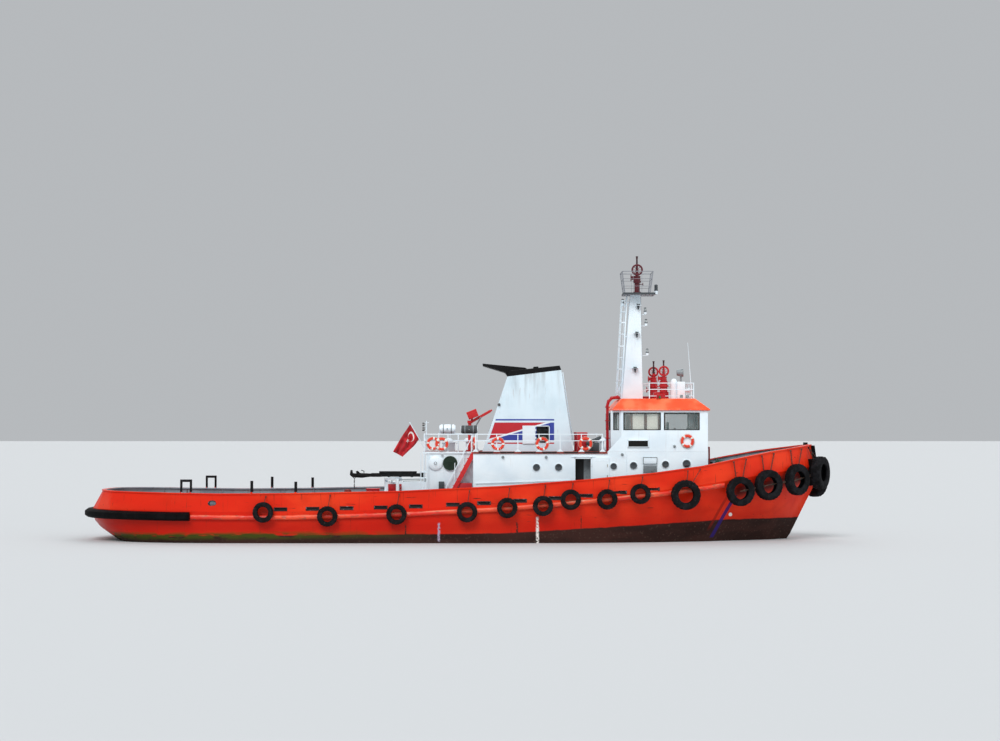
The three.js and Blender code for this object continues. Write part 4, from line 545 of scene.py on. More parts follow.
def stern_rubber():
    """Extruded rubber of the stern fender, with the joints between its lengths."""
    made, tree, shader = blank_material("stern_fender_rubber", 0.75, Specular_IOR_Level=0.1)
    x, y, _ = vessel_axes(tree)
    rubber = coats(tree, "#040405", ("#0b0b0d", patches(tree, 500.0, 0.4, 0.62)),
                   ("#33261f", patches(tree, 90.0, 0.62, 0.74), 0.45))
    out = add_node(tree, "ShaderNodeMath", {0: y}, operation="ABSOLUTE").outputs[0]
    along = add_node(tree, "ShaderNodeMath", {0: out, 1: 0.6, 2: x}, operation="MULTIPLY_ADD").outputs[0]
    joint = ramps(tree, (from_lines(tree, along, 0.28, 0.0), 0.0, 0.03))
    height = add_node(tree, "ShaderNodeMath", {0: patches(tree, 60.0, 0.3, 0.7), 1: 0.2, 2: joint},
                      operation="MULTIPLY_ADD").outputs[0]
    painted(tree, shader, coats(tree, "#050505", (rubber, joint)), height, 20.0)
    return made


# Hull, bulwarks and fendering

def surface_of(*nodes):
    """A tree of CAD nodes' surfaces, to find where a fitting meets them."""
    bm = bmesh.new()
    for name in nodes:
        bm.from_mesh(frame["nodes"][name].data)
    found = BVHTree.FromBMesh(bm)
    bm.free()
    return found


HULL_SURFACE = surface_of("hull")
BULWARK_SURFACE = surface_of("bulwark_stern", "bulwark_stbd", "bulwark_port", "bulwark_bow")


def shell_y(x, z, side):
    """Where the outside of the shell is, on that side, at a place along and up."""
    return HULL_SURFACE.ray_cast(Vector((x, side * 9.0, z)), Vector((0, -side, 0)))[0].y


def deck_z(x, y=0.4):
    """The height of the main deck."""
    return HULL_SURFACE.ray_cast(Vector((x, y, 9.0)), Vector((0, 0, -1)))[0].z


def bulwark_inside(x, side, z):
    """The inner face of the bulwark plate at a height."""
    return BULWARK_SURFACE.ray_cast(Vector((x, side * 0.3, z)), Vector((0, side, 0)))[0]


def bulwark_outside(x, side, z):
    """The outer face of the bulwark plate at a height."""
    return BULWARK_SURFACE.ray_cast(Vector((x, side * 8.0, z)), Vector((0, -side, 0)))[0]


def bulwark_top(x, side):
    """The middle of the capping rail."""
    best = None
    for step in range(60):
        y = side * (0.2 + step * 0.08)
        place = BULWARK_SURFACE.ray_cast(Vector((x, y, 9.0)), Vector((0, 0, -1)))[0]
        if place is not None and (best is None or place.z > best.z - 0.02):
            best = place
    return best


hull_paint = hull_enamel()
bulwark_paint = bulwark_enamel()
rail_orange = enamel("capping_rail_enamel", ORANGE, ORANGE_FADED, 0.42, "#7e3a28", 0.5, 600.0, 2.0)
dressed("hull", "hull_shell", [hull_paint], flat=False)
for part in ("stern", "stbd", "port", "bow"):
    plating = dressed(f"bulwark_{part}", f"bulwark_plating_{part}", [bulwark_paint, rail_orange],
                      flat=False)
    for face in plating.data.polygons:
        x, y, z = face.center
        if face.normal.y * y < 0 and x > 9.0:
            capping = bulwark_top(x, math.copysign(1, y))
            if capping is not None and z > capping.z - 0.13:
                face.material_index = 1

side_rubber = tyre_rubber("side_tyre_rubber", "#4b4a48")
bow_rubber = tyre_rubber("bow_tyre_rubber", "#333537", "#0d0d0f")

# Heights of the rubbing belt along the shell, as x and z in metres
BELT_LINE = [(-13.45, 1.29), (-12.0, 1.28), (-8.5, 1.28), (-3.0, 1.42), (2.0, 1.69), (6.3, 2.06),
             (9.65, 2.39),
             (12.2, 2.71), (13.3, 2.87)]
# Side tyres, as x, z and outer diameter in metres
SIDE_TYRES = [(-9.79, 1.55, 1.05), (-6.59, 1.35, 1.05), (-3.15, 1.45, 1.05), (0.36, 1.56, 1.05),
              (2.36, 1.77, 1.05), (4.14, 1.87, 1.05), (5.52, 2.18, 1.05), (7.34, 2.19, 1.05),
              (9.0, 2.46, 1.05), (11.29, 2.4, 1.54)]
SIDE_TYRE_THICK = 0.3
BELT_OUT = 0.16
# Half the size of the eyes that the tyres' chains hang from
EYE_HALF, BOW_EYE_HALF = Vector((0.03, 0.03, 0.04)), Vector((0.035, 0.035, 0.045))
# Starboard bow tyres, as centre, axis, outer diameter and thickness; the port nose tyre hangs lower
BOW_TYRES = [((14.1, -3.7396, 2.56), (0.3171, -0.9484, 0.0), 1.52, 0.38),
             ((15.6, -3.1405, 2.86), (0.4415, -0.8973, 0.0), 1.58, 0.40),
             ((17.2, -2.1694, 3.11), (0.6445, -0.7646, 0.0), 1.64, 0.42),
             ((18.58, -0.9252, 3.43), (0.866, -0.5, 0.0), 1.74, 0.50)]
PORT_NOSE_Z = 2.98


def belt_z(x):
    """The belt's height at a place along the hull."""
    for (aft, low), (fore, high) in zip(BELT_LINE, BELT_LINE[1:]):
        if x <= fore:
            return low + (high - low) * (x - aft) / (fore - aft)
    return BELT_LINE[-1][1]


def rubbing_belt(name, side):
    """Half-round steel belt welded along the shell, in lengths that have been bent a little by quays."""
    bm = bmesh.new()
    section = [(0.06, -0.12), (-0.06, -0.118), (-0.115, -0.10), (-0.148, -0.06), (-0.158, 0.0),
               (-0.148, 0.06), (-0.115, 0.10), (-0.06, 0.118), (0.06, 0.12)]
    places = []
    count = 68
    for k in range(count + 1):
        x = BELT_LINE[0][0] + (BELT_LINE[-1][0] - BELT_LINE[0][0]) * k / count
        z = belt_z(x)
        dent = 0.006 * math.sin(k * 1.7 + side) + 0.004 * math.sin(k * 0.61)
        places.append(Matrix.Translation((x, shell_y(x, z, side) + side * -abs(dent), z)) @ Matrix(
            ((0, 0, 1, 0), (-side, 0, 0, 0), (0, 1, 0, 0), (0, 0, 0, 1))))
    swept(bm, section, places)
    new_piece(f"rubbing_belt_{name}", bm, [belt_paint], sharp=50)


def fender_tyre(bm, centre, axis, outer, thick, steps=44):
    """A truck tyre, hollow inside, with blocks cut in its tread."""
    reach, half = outer / 2 * 0.985, thick / 2
    bead = reach * 0.53
    wall = [(bead, 0.62 * half), (bead * 1.03, 0.86 * half), (bead * 1.12, 0.9 * half),
            (0.74 * reach, 0.97 * half), (0.86 * reach, 0.985 * half), (0.93 * reach, 0.92 * half),
            (0.965 * reach, 0.78 * half), (0.972 * reach, 0.42 * half), (0.974 * reach, 0.14 * half)]
    hollow = [(bead * 1.01, 0.52 * half), (0.66 * reach, 0.76 * half), (0.82 * reach, 0.78 * half),
              (0.91 * reach, 0.55 * half)]
    profile = wall + [(r, -h) for r, h in reversed(wall)] + [(r, -h) for r, h in hollow] + [
        (r, h) for r, h in reversed(hollow)] + wall[:1]
    faces = lathe(bm, profile, centre, axis, steps)
    bmesh.ops.recalc_face_normals(bm, faces=faces)
    inward = turned_to(axis, centre).inverted()
    blocks = []
    for face in faces:
        local = inward @ face.calc_center_median()
        radius, turn = math.hypot(local.x, local.y), math.atan2(local.y, local.x)
        row = 0 if abs(local.z) < 0.3 * half else 1
        sector = int((turn + math.pi) / (2 * math.pi) * steps + 0.5 * row)
        if radius > 0.955 * reach and abs(local.z) < 0.9 * half and (sector + row) % 2 == 0:
            blocks.append(face)
    bmesh.ops.inset_individual(bm, faces=blocks, thickness=0.006, depth=0.022 * reach)


def chain(bm, start, end, pitch=0.075, wide=0.055, wire=0.009, finish=0):
    """Welded chain from point to point, every other link turned a quarter."""
    start, end = Vector(start), Vector(end)
    count = max(2, round((end - start).length / pitch))
    one = bmesh.new()
    hoop(one, (0, 0, 0), (0, 0, 1), wide / 2 - wire, wire, 12, 6, finish)
    link = bpy.data.meshes.new("chain_link")
    one.to_mesh(link)
    one.free()
    points = [start.lerp(end, k / count) for k in range(count + 1)]
    for k, (here, there) in enumerate(zip(points, points[1:])):
        along = there - here
        stretch = Matrix.Diagonal((1.0, (along.length + 2.2 * wire) / wide, 1.0, 1.0))
        quarter = Matrix.Rotation(math.radians(90 * (k % 2)), 4, "Y")
        turn = along.to_track_quat("Y", "Z").to_matrix().to_4x4()
        placed = link.copy()
        placed.transform(Matrix.Translation((here + there) / 2) @ turn @ quarter @ stretch)
        bm.from_mesh(placed)
        bpy.data.meshes.remove(placed)
    bpy.data.meshes.remove(link)


def side_fendering(name, side):
    """The hanging tyres of one side, and the chains that hold them to eyes on the bulwark."""
    tyres, hangers = bmesh.new(), bmesh.new()
    for x, z, outer in SIDE_TYRES:
        y = shell_y(x, belt_z(x), side) + side * (BELT_OUT + SIDE_TYRE_THICK / 2 - 0.025)
        aft_out, fore_out = (abs(shell_y(x + shift, belt_z(x), side)) for shift in (-0.6, 0.6))
        flare = math.atan((aft_out - fore_out) / 1.2)
        axis = Vector((math.sin(flare), side * math.cos(flare), 0.0))
        fender_tyre(tyres, (x, y, z), axis, outer, SIDE_TYRE_THICK)
        rail = bulwark_top(x + 0.12, side)
        eye = Vector((x + 0.12, rail.y + side * 0.1, rail.z - 0.16))
        lug = Vector((0, side * 0.04, 0))
        slab(hangers, eye - EYE_HALF, eye + EYE_HALF, 0.008)
        hoop(hangers, eye + lug, (1, 0, 0), 0.035, 0.01, 14, 6)
        chain(hangers, eye + lug * 1.4, (x + 0.02, y - side * 0.02, z + outer * 0.30))
        if outer > 1.2:
            far = bulwark_top(x + 0.75, side)
            second = Vector((x + 0.75, far.y + side * 0.1, far.z - 0.16))
            slab(hangers, second - EYE_HALF, second + EYE_HALF, 0.008)
            chain(hangers, second + lug, (x + 0.25, y - side * 0.02, z + outer * 0.3))
    piece = new_piece(f"side_tyres_{name}", tyres, [side_rubber], sharp=32)
    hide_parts(f"fender_belt_{name}")
    new_piece(f"tyre_chains_{name}", hangers, [chain_steel])


def bow_fendering(name, side):
    """The big tyres round the bow, chained to each other and hung from the bow bulwark."""
    tyres, hangers = bmesh.new(), bmesh.new()
    centres = []
    for k, (centre, axis, outer, thick) in enumerate(BOW_TYRES):
        centre = Vector((centre[0], -side * centre[1], PORT_NOSE_Z if side > 0 and k == 3 else centre[2]))
        axis = Vector((axis[0], -side * axis[1], 0.0))
        centres.append(centre)
        fender_tyre(tyres, centre, axis, outer, thick, 48)
        for shift in (-0.35, 0.3):
            top = bulwark_top(min(centre.x + shift, 17.95), side)
            if top is None:
                continue
            eye = top + Vector((0.02, side * 0.11, -0.14))
            slab(hangers, eye - BOW_EYE_HALF, eye + BOW_EYE_HALF, 0.01)
            hold = centre + Vector((shift * 0.4, 0, outer * 0.3)) - axis * thick * 0.3
            chain(hangers, eye, hold, 0.1, 0.075, 0.013)
    for here, there in zip(centres, centres[1:]):
        chain(hangers, here, there, 0.19, 0.12, 0.024)
    piece = new_piece(f"bow_tyre_row_{name}", tyres, [bow_rubber], sharp=32)
    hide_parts(f"bow_tyres_{name}")
    new_piece(f"bow_chains_{name}", hangers, [chain_steel])


belt_paint = belt_enamel()
chain_steel = mottled("galvanised_chain", 0.55, "#3a3634", ("#6a4a3a", 1.0, 60.0, 0.45, 0.6), metallic=0.6)
fender_made = stern_rubber()
dressed("stern_fender", "stern_fender_rubber", [fender_made], edge=0.03, sharp=50,
        flat=False)
dressed("stem_fender", "stem_pad_rubber", [fender_made], edge=0.02)
for side_name, flank in SIDES.items():
    rubbing_belt(side_name, flank)
    side_fendering(side_name, flank)
    bow_fendering(side_name, flank)


# Finishes of the superstructure and gear

FUNNEL_RED = "#bf1626"
# How far the funnel's after side leans forward for each metre up
FUNNEL_LEAN = 0.334


def funnel_enamel():
    """White funnel enamel with the painted bands, and soot that has washed down from the cap."""
    made, tree, shader = blank_material("funnel_enamel", 0.36, Coat_Weight=0.2, Coat_Roughness=0.18)
    x, y, z = vessel_axes(tree)
    aft_edge = add_node(tree, "ShaderNodeMath", {0: z, 1: -FUNNEL_LEAN, 2: x},
                        operation="MULTIPLY_ADD").outputs[0]
    flank = add_node(tree, "ShaderNodeMath", {0: y}, operation="ABSOLUTE").outputs[0]
    inside = ramps(tree, (aft_edge, -0.30, -0.28), (x, 4.8, 4.78), (flank, 1.44, 1.445))
    field = (band(tree, z, 5.07, 6.03, 0.008), inside)
    # The white diagonal of the painted field, as its height where x is 0
    slant = add_node(tree, "ShaderNodeMath", {0: x, 1: -0.29, 2: z}, operation="MULTIPLY_ADD").outputs[0]
    tone = coats(
        tree, "#dff1fa",
        ("#d2e6f0", patches(tree, 1300.0, 0.4, 0.7)),
        ("#8d8a86", ramps(tree, (z, 6.6, 9.0)), 0.5, patches(tree, 200.0, 0.45, 0.72, (1.0, 1.0, 0.08))),
        ("#9a6a4a", patches(tree, 80.0, 0.64, 0.74, (1.0, 1.0, 0.08)), 0.35),
        ("#2e3f9e", *field),
        (FUNNEL_RED, ramps(tree, (slant, 4.74, 4.75)), *field),
        (WHITE, band(tree, slant, 4.69, 4.77, 0.008), *field),
        (FUNNEL_RED, band(tree, z, 4.93, 5.0, 0.006), inside),
        ("#2b3f9f", band(tree, z, 6.13, 6.21, 0.006), inside))
    painted(tree, shader, tone, patches(tree, 1100.0, 0.2, 0.8, detail=2.0), 5.0)
    return made


house_paint = enamel("house_enamel", WHITE, "#dfeef7", 0.34, "#9a7556", 0.26, 1500.0, 4.0)
roof_paint = enamel("roof_enamel", "#f5511f", "#fb7a4c", 0.4, "#a2381a", 0.4, 900.0, 4.0)
funnel_paint = funnel_enamel()
boat_deck_paint = mottled("boat_deck_coating", 0.82, "#7c2b25", ("#8e4338", 1.0, 1100.0, 0.42, 0.64),
                          ("#3a1c17", 0.7, 240.0, 0.58, 0.72), ("#9a8b80", 0.4, 120.0, 0.68, 0.75),
                          relief=(22.0, 0.35, 0.65), depth_mm=2.5)
steel_black = gear_enamel("black_enamel", "#0a0b0c", "#2e211b", 0.5, 0.5, specular=0.25)
soot_black = gear_enamel("funnel_black", "#08080a", "#1c1917", 0.6, 0.5, specular=0.2)
signal_red = gear_enamel("signal_red_enamel", "#b3121d", "#7d0f16", 0.32, 0.5)
monitor_maroon = gear_enamel("monitor_maroon_enamel", "#5a1120", "#2c1016", 0.42, 0.6)
barrel_dark = gear_enamel("monitor_barrel_enamel", "#3a0c15", "#1c0d10", 0.42, 0.5)
basket_grey = gear_enamel("basket_grey_enamel", "#858991", "#5d5f66", 0.5, 0.5)
stair_red = gear_enamel("stair_red_enamel", "#cf1f22", "#8a2a20", 0.38, 0.6)
deck_green = gear_enamel("windlass_green_enamel", "#1d5a40", "#3a3428", 0.42, 0.8)
machine_grey = gear_enamel("grey_enamel", "#8b9498", "#5d5a55", 0.45, 0.6)
dark_grey = gear_enamel("dark_grey_enamel", "#3c4347", "#2a2623", 0.5, 0.6)
bridge_glass = mottled("toughened_glass", 0.05, "#92a8a8", ("#b2c4c2", 1.0, 900.0, 0.4, 0.6), Alpha=0.16,
                       IOR=1.5)
# The porthole glass is near black: painted shade of the unlit cabin, as the wall behind it is solid
porthole_glass = mottled("porthole_glass", 0.08, "#10151a", ("#28333b", 1.0, 300.0, 0.4, 0.6),
                         Coat_Weight=1.0, Coat_Roughness=0.03)
teak = mottled("varnished_teak", 0.3, "#4a2414", ("#6d3a20", 1.0, 60.0, 0.35, 0.65, (1.0, 1.0, 0.12)),
               relief=(14.0, 0.3, 0.7, (1.0, 1.0, 0.1)), depth_mm=0.6, Coat_Weight=0.6, Coat_Roughness=0.1)
gasket = tyre_rubber("window_gasket", "#3a3a3a", "#0b0b0c")
louvre_black = gear_enamel("louvre_black", "#08090a", "#16181a", 0.6, 0.4)
ring_brass = gear_enamel("porthole_brass", "#8a7648", "#5b4d30", 0.32, 0.5, 0.9)
bronze = gear_enamel("propeller_bronze", "#a8823f", "#6e5a30", 0.28, 0.6, 1.0)
lamp_glass = mottled("lamp_glass", 0.1, "#dfe6e6", ("#c9cfcf", 1.0, 60.0, 0.4, 0.6),
                     Transmission_Weight=0.6, IOR=1.5)

# Walls, decks and machinery that keep their CAD shape, with their edges eased
# Finish, slot, edge in metres, and the nodes with their new names
HOUSE_PLATES = [
    (house_paint, "house_paint", 0.012, [
        ("deckhouse_side_stbd", "deckhouse_plating_stbd"),
        ("deckhouse_side_port", "deckhouse_plating_port"), ("deckhouse_front", "deckhouse_front_plating"),
        ("deckhouse_aft", "deckhouse_after_plating")]),
    (house_paint, "house_paint", 0.008, [
        ("deckhouse_door_stbd", "side_door_stbd"), ("deckhouse_door_port", "side_door_port")]),
    (house_paint, "house_paint", 0.01, [
        ("wheelhouse_side_stbd", "bridge_plating_stbd"), ("wheelhouse_side_port", "bridge_plating_port"),
        ("wheelhouse_front", "bridge_front_plating"), ("wheelhouse_aft", "bridge_after_plating")]),
    (house_paint, "house_paint", 0.008, [("wheelhouse_door", "bridge_door")]),
    (roof_paint, "roof_paint", 0.03, [("wheelhouse_roof", "visor_roof")]),
    (funnel_paint, "house_paint", 0.05, [("funnel_casing", "funnel_plating")]),
    (house_paint, "house_paint", 0.008, [("funnel_door", "funnel_door_leaf")]),
    (soot_black, "black_paint", 0.02, [("funnel_cap", "funnel_cap_plating")]),
    (boat_deck_paint, "deck_paint", 0.01, [("boat_deck", "boat_deck_plating")]),
    (house_paint, "house_paint", 0.03, [("mast", "mast_trunk")]),
    (teak, "helm_wood", 0.02, [("helm_console", "helm_cabinet")]),
    (house_paint, "house_paint", 0.015, [("tow_casing", "tow_gear_casing")]),
    (steel_black, "black_paint", 0.02, [("tow_arm", "tow_arm_steel")]),
    (steel_black, "black_paint", 0.015, [("tow_hook", "tow_hook_steel")]),
    (deck_green, "green_paint", 0.02, [("windlass", "windlass_frame")]),
    (deck_green, "green_paint", 0.015, [("windlass_drum", "windlass_drum_steel")]),
    (hull_paint, "black_paint", 0.02, [("rudder", "rudder_blade"), ("nozzle", "nozzle_ring")]),
    (steel_black, "black_paint", 0.015, [
        ("bitts_stbd", "bitts_steel_stbd"), ("bitts_port", "bitts_steel_port")]),
    (stair_red, "red_paint", 0.0, [
        ("stairs_stbd", "stair_steel_stbd"), ("stairs_port", "stair_steel_port")]),
    (basket_grey, "house_paint", 0.0, [("mast_platform", "mast_platform_steel")]),
    (house_paint, "house_paint", 0.0, [("mast_ladder", "mast_ladder_steel")]),
    (signal_red, "red_paint", 0.0, [("fire_main", "fire_main_pipe")]),
    (house_paint, "house_paint", 0.0, [("roof_rail", "roof_rail_steel"), ("binnacle", "binnacle_cover")]),
    (machine_grey, "grey_paint", 0.0, [("searchlight", "searchlight_case")]),
    (bronze, "bronze", 0.0, [
        ("propeller", "propeller_bronze"), ("thruster_propeller", "thruster_bronze")]),
    (monitor_maroon, "red_paint", 0.0, [("mast_monitor", "mast_monitor_body")]),
    (barrel_dark, "red_paint", 0.0, [("mast_monitor_barrel", "mast_monitor_tube")]),
    (signal_red, "red_paint", 0.0, [("roof_monitor_stbd", "roof_monitor_body_stbd")]),
    (barrel_dark, "red_paint", 0.0, [("roof_monitor_stbd_barrel", "roof_monitor_tube_stbd")]),
    (signal_red, "red_paint", 0.0, [("roof_monitor_port", "roof_monitor_body_port")]),
    (barrel_dark, "red_paint", 0.0, [("roof_monitor_port_barrel", "roof_monitor_tube_port")]),
    (house_paint, "house_paint", 0.0, [
        ("rail_stbd", "boat_deck_rail_stbd"), ("rail_port", "boat_deck_rail_port"),
        ("rail_aft", "boat_deck_rail_aft"), ("liferafts", "liferaft_canisters"),
        ("flagstaff", "flagstaff_pole")]),
]
for finish, place, edge, node, name in ((*row[:3], *pair) for row in HOUSE_PLATES for pair in row[3]):
    two_tone = node == "boat_deck" or node.startswith("stairs")
    finishes = [finish, house_paint] if two_tone else [finish]
    piece = dressed(node, name, finishes, edge=edge, sharp=32 if edge else 45)
    for face in piece.data.polygons if two_tone else ():
        x, z = face.center.x, face.center.z
        if node == "boat_deck":
            white = abs(face.normal.z) < 0.3 and z < 4.54 and not 0.62 < x < 7.46
        else:
            white = z > 2.57 + 1.49 * (x + 0.82)
        face.material_index = 1 if white else 0


# Windows, portholes and doors

# Outer faces of the deckhouse: its side, the narrower part aft of the stairs, and the front
HOUSE_Y, AFT_HOUSE_Y, HOUSE_FRONT = 3.0, 2.1, 12.55
BOAT_DECK_TOP = 4.53
# Lower and upper edges of the bridge windows, and how far back their panes sit
SILL, HEAD = 5.64, 6.53
PANE_DEPTH = 0.03


def window(bm, middle, across, outward, wide, high, frame_wide=0.035, proud=0.012):
    """An upright pane in a rubber gasket: finish 0 is the gasket, 1 the glass."""
    axes = (Vector(v).normalized() for v in (across, (0, 0, 1), outward))
    place = Matrix.Translation(middle) @ Matrix(tuple(axes)).transposed().to_4x4()
    half_w, half_h, f = wide / 2, high / 2, frame_wide
    for low, top in (((-half_w, half_h - f), (half_w, half_h)), ((-half_w, -half_h), (half_w, -half_h + f)),
                     ((-half_w, -half_h + f), (-half_w + f, half_h - f)),
                     ((half_w - f, -half_h + f), (half_w, half_h - f))):
        slab(bm, (*low, -PANE_DEPTH - 0.02), (*top, proud), 0.004, 0, 1, place)
    slab(bm, (-half_w + f * 0.5, -half_h + f * 0.5, -PANE_DEPTH - 0.006),
         (half_w - f * 0.5, half_h - f * 0.5, -PANE_DEPTH + 0.006), 0.0, 1, 1, place)


def bridge_windows():
    """The wheelhouse windows all round, as panes in gaskets, with wipers on the front ones."""
    bm = bmesh.new()
    mid, high = (SILL + HEAD) / 2, HEAD - SILL
    for side in (-1, 1):
        for aft, fore in ((8.26, 10.16), (10.32, 12.13)):
            window(bm, ((aft + fore) / 2, side * HOUSE_Y, mid), (1, 0, 0), (0, side, 0), fore - aft, high)
    for k in range(5):
        y = (k - 2) * 1.125
        window(bm, (HOUSE_FRONT, y, mid), (0, 1, 0), (1, 0, 0), 0.95, high)
        pipe(bm, [(12.585, y - 0.3, HEAD + 0.02), (12.585, y - 0.05, mid - 0.1)], 0.012, 6)
        pipe(bm, [(12.59, y - 0.16, mid + 0.22), (12.59, y + 0.06, mid - 0.34)], 0.009, 6)
    # The after corners are cut off at 45 degrees between these places
    aft, aft_y, fore = 7.65, 2.5, 8.15
    centre = (aft + fore) / 2 + 0.01
    for side in (-1, 1):
        window(bm, (aft, side * 1.6, mid), (0, -1, 0), (-1, 0, 0), 1.2, high)
        slope = (fore - aft, side * (HOUSE_Y - aft_y), 0)
        window(bm, (centre, side * (aft_y + centre - aft), mid), slope, (-1, side, 0), 0.40, high, 0.03,
               0.01)
    new_piece("bridge_windows", bm, [gasket, bridge_glass], sharp=30)


# Portholes, as x, height and radius
PORTHOLES = [(3.85, 3.745, 0.17), (4.97, 3.75, 0.17), (7.76, 3.8, 0.155), (8.77, 3.84, 0.17),
             (10.39, 3.9, 0.165), (11.46, 3.93, 0.19)]


def porthole(bm, centre, outward, radius):
    """A hinged porthole: flange and dogs in finish 0, rim 1, glass 2."""
    lathe(bm,
          [(radius + 0.05, -0.002), (radius + 0.05, 0.014), (radius + 0.035, 0.02), (radius + 0.01, 0.02)],
          centre, outward, 32, 0)
    lathe(bm,
          [(radius + 0.022, 0.018), (radius + 0.018, 0.034), (radius + 0.002, 0.036),
           (radius - 0.006, 0.014)],
          centre, outward, 32, 1)
    lathe(bm, [(radius, 0.014), (radius * 0.6, 0.018), (0.0005, 0.02)], centre, outward, 32, 2)
    frame_of = turned_to(outward, centre)
    for k in range(8):
        turn = 2 * math.pi * (k + 0.5) / 8
        bolt = frame_of @ Vector(((radius + 0.037) * math.cos(turn), (radius + 0.037) * math.sin(turn),
                                  0.0))
        rod(bm, bolt, bolt + Vector(outward) * 0.028, 0.009, 6)


def portholes():
    """Portholes of the deckhouse: those seen to starboard, the same to port, and four in the front."""
    bm = bmesh.new()
    for side in (-1, 1):
        for x, z, radius in PORTHOLES:
            porthole(bm, (x, side * HOUSE_Y, z), (0, side, 0), radius)
    for y in (-2.1, -0.75, 0.75, 2.1):
        porthole(bm, (HOUSE_FRONT, y, 4.15), (1, 0, 0), 0.16)
    new_piece("portholes", bm, [house_paint, machine_grey, porthole_glass], sharp=40)


def door_fittings(name, body, hinge, direction):
    """Stiffening beads and dogs on the inner face of a side door; hinge is the leaf's hinge edge there."""
    bm = bmesh.new()
    hinge, direction, outward = Vector(hinge), Vector(direction), Vector((0, -1, 0))
    wide, low, high = 0.85, 2.48, 4.19
    start, end = hinge + direction * 0.1, hinge + direction * (wide - 0.1)
    middle = (low + high) / 2
    for z0, z1 in ((low + 0.1, middle - 0.05), (middle + 0.05, high - 0.1)):
        pipe(bm, [Vector((*edge.xy, z)) for edge, z in (
            (start, z0), (start, z1), (end, z1), (end, z0), (start, z0))], 0.012, 6)
    for share in (0.18, 0.5, 0.82):
        grip = Vector((*end.xy, low + (high - low) * share))
        rod(bm, grip - outward * 0.01, grip + outward * 0.035, 0.018, 10, finish=1)
        rod(bm, grip + outward * 0.03, grip + outward * 0.03 - Vector((0, 0, 0.13)), 0.011, 8, 0.008,
            finish=1)
    new_piece(name, bm, [house_paint, ring_brass], body)


def side_door_frames():
    """Flat bars and a rain strip round the side doorways, and the partition seen through each doorway,
    black in its after part as painted shade of the unlit corridor and grey forward.
    """
    bm = bmesh.new()
    for side in (-1, 1):
        wall_bars(bm, side * 2.999, side * 3.004, [(5.775, 2.435, 5.82, 4.235), (6.6, 2.435, 6.635, 4.235),
                                                   (5.775, 4.19, 6.635, 4.235)])
        wall_bars(bm, side * 2.995, side * 3.05, [(5.6, 4.28, 6.85, 4.3)], 0.004, 0, 1)
        floor = deck_z(6.2) + 0.01
        # The black after part of each partition is painted shade of the unlit corridor
        for aft, fore, finish in ((5.5, 6.27, 1), (6.27, 6.9, 2)):
            wall_bars(bm, side * 2.36, side * 2.4, [(aft, floor, fore, 4.44)], finish=finish)
    new_piece("side_door_frames", bm, [house_paint, louvre_black, machine_grey])


bridge_windows()
portholes()
side_door_frames()
for side_name, hinge, along in (("stbd", (6.69, -3.056, 0), 1), ("port", (6.63, 3.006, 0), -1)):
    door_fittings(f"side_door_dogs_{side_name}", f"deckhouse_door_{side_name}", hinge, (along, 0, 0))


# Fittings on the deckhouse, wheelhouse and boat deck

# The boat deck's side rail: distance out, forward post and spacing of the posts
RAIL_Y = 2.96
RAIL_FORE, RAIL_BAY = 7.2, (7.2 - 0.76) / 6


def lifebuoy(bm, centre, axis, turn=0.0):
    """A lifebuoy: finish 0 orange, 1 the white bands, 2 its grab line."""
    ring, thick = 0.2685, 0.068
    faces = cushion_ring(bm, centre, axis, ring, thick, 0.062, 40, 0)
    inward = turned_to(axis, centre).inverted()
    for face in faces:
        local = inward @ face.calc_center_median()
        sector = (math.degrees(math.atan2(local.y, local.x)) + turn) % 90
        if sector < 20:
            face.material_index = 1
    frame_of = turned_to(axis, centre)
    for k in range(4):
        middle = math.radians(90 * k + 10 - turn)
        points = []
        for step in range(9):
            angle = middle + math.radians(90) * step / 8
            reach = ring + thick + 0.008 + 0.022 * math.sin(math.pi * step / 8)
            points.append(frame_of @ Vector((reach * math.cos(angle), reach * math.sin(angle), 0.0)))
        pipe(bm, points, 0.008, 6, 2)


# Lifebuoys, as centre, axis and turn of the bands in degrees
LIFEBUOYS = [
    ((1.89, -3.026, 4.94), (0, 1, 0), 10), ((4.14, -3.026, 4.94), (0, 1, 0), 30),
    ((6.34, -3.026, 4.95), (0, 1, 0), 55), ((0.69, -2.55, 4.97), (1, 0.12, 0), 0),
    ((1.89, 3.026, 4.94), (0, 1, 0), 20), ((4.14, 3.026, 4.94), (0, 1, 0), 0),
    ((6.34, 3.026, 4.95), (0, 1, 0), 40), ((11.5, -3.042, 5.08), (0, 1, 0), 45),
    ((11.5, 3.042, 5.08), (0, 1, 0), 25), ((-1.42, -2.145, 4.95), (0, 1, 0), 0),
    ((-0.98, -2.2, 4.93), (0, 1, 0), 50),
]


def lifebuoys():
    """The lifebuoys of the table, each in two hooks."""
    bm = bmesh.new()
    for centre, axis, turn in LIFEBUOYS:
        lifebuoy(bm, centre, axis, turn)
        side = -1 if centre[1] < 0 else 1
        inner = Vector(centre) - Vector((0, side * 0.07, 0))
        for shift in (-0.14, 0.14):
            foot = inner + Vector((shift, 0, -0.27))
            pipe(bm, [foot, foot + Vector((0, side * 0.12, -0.03)), foot + Vector((0, side * 0.13, 0.05))],
                 0.009, 6, 1)
    new_piece("lifebuoys", bm, [buoy_orange, buoy_white, line_white], sharp=60)


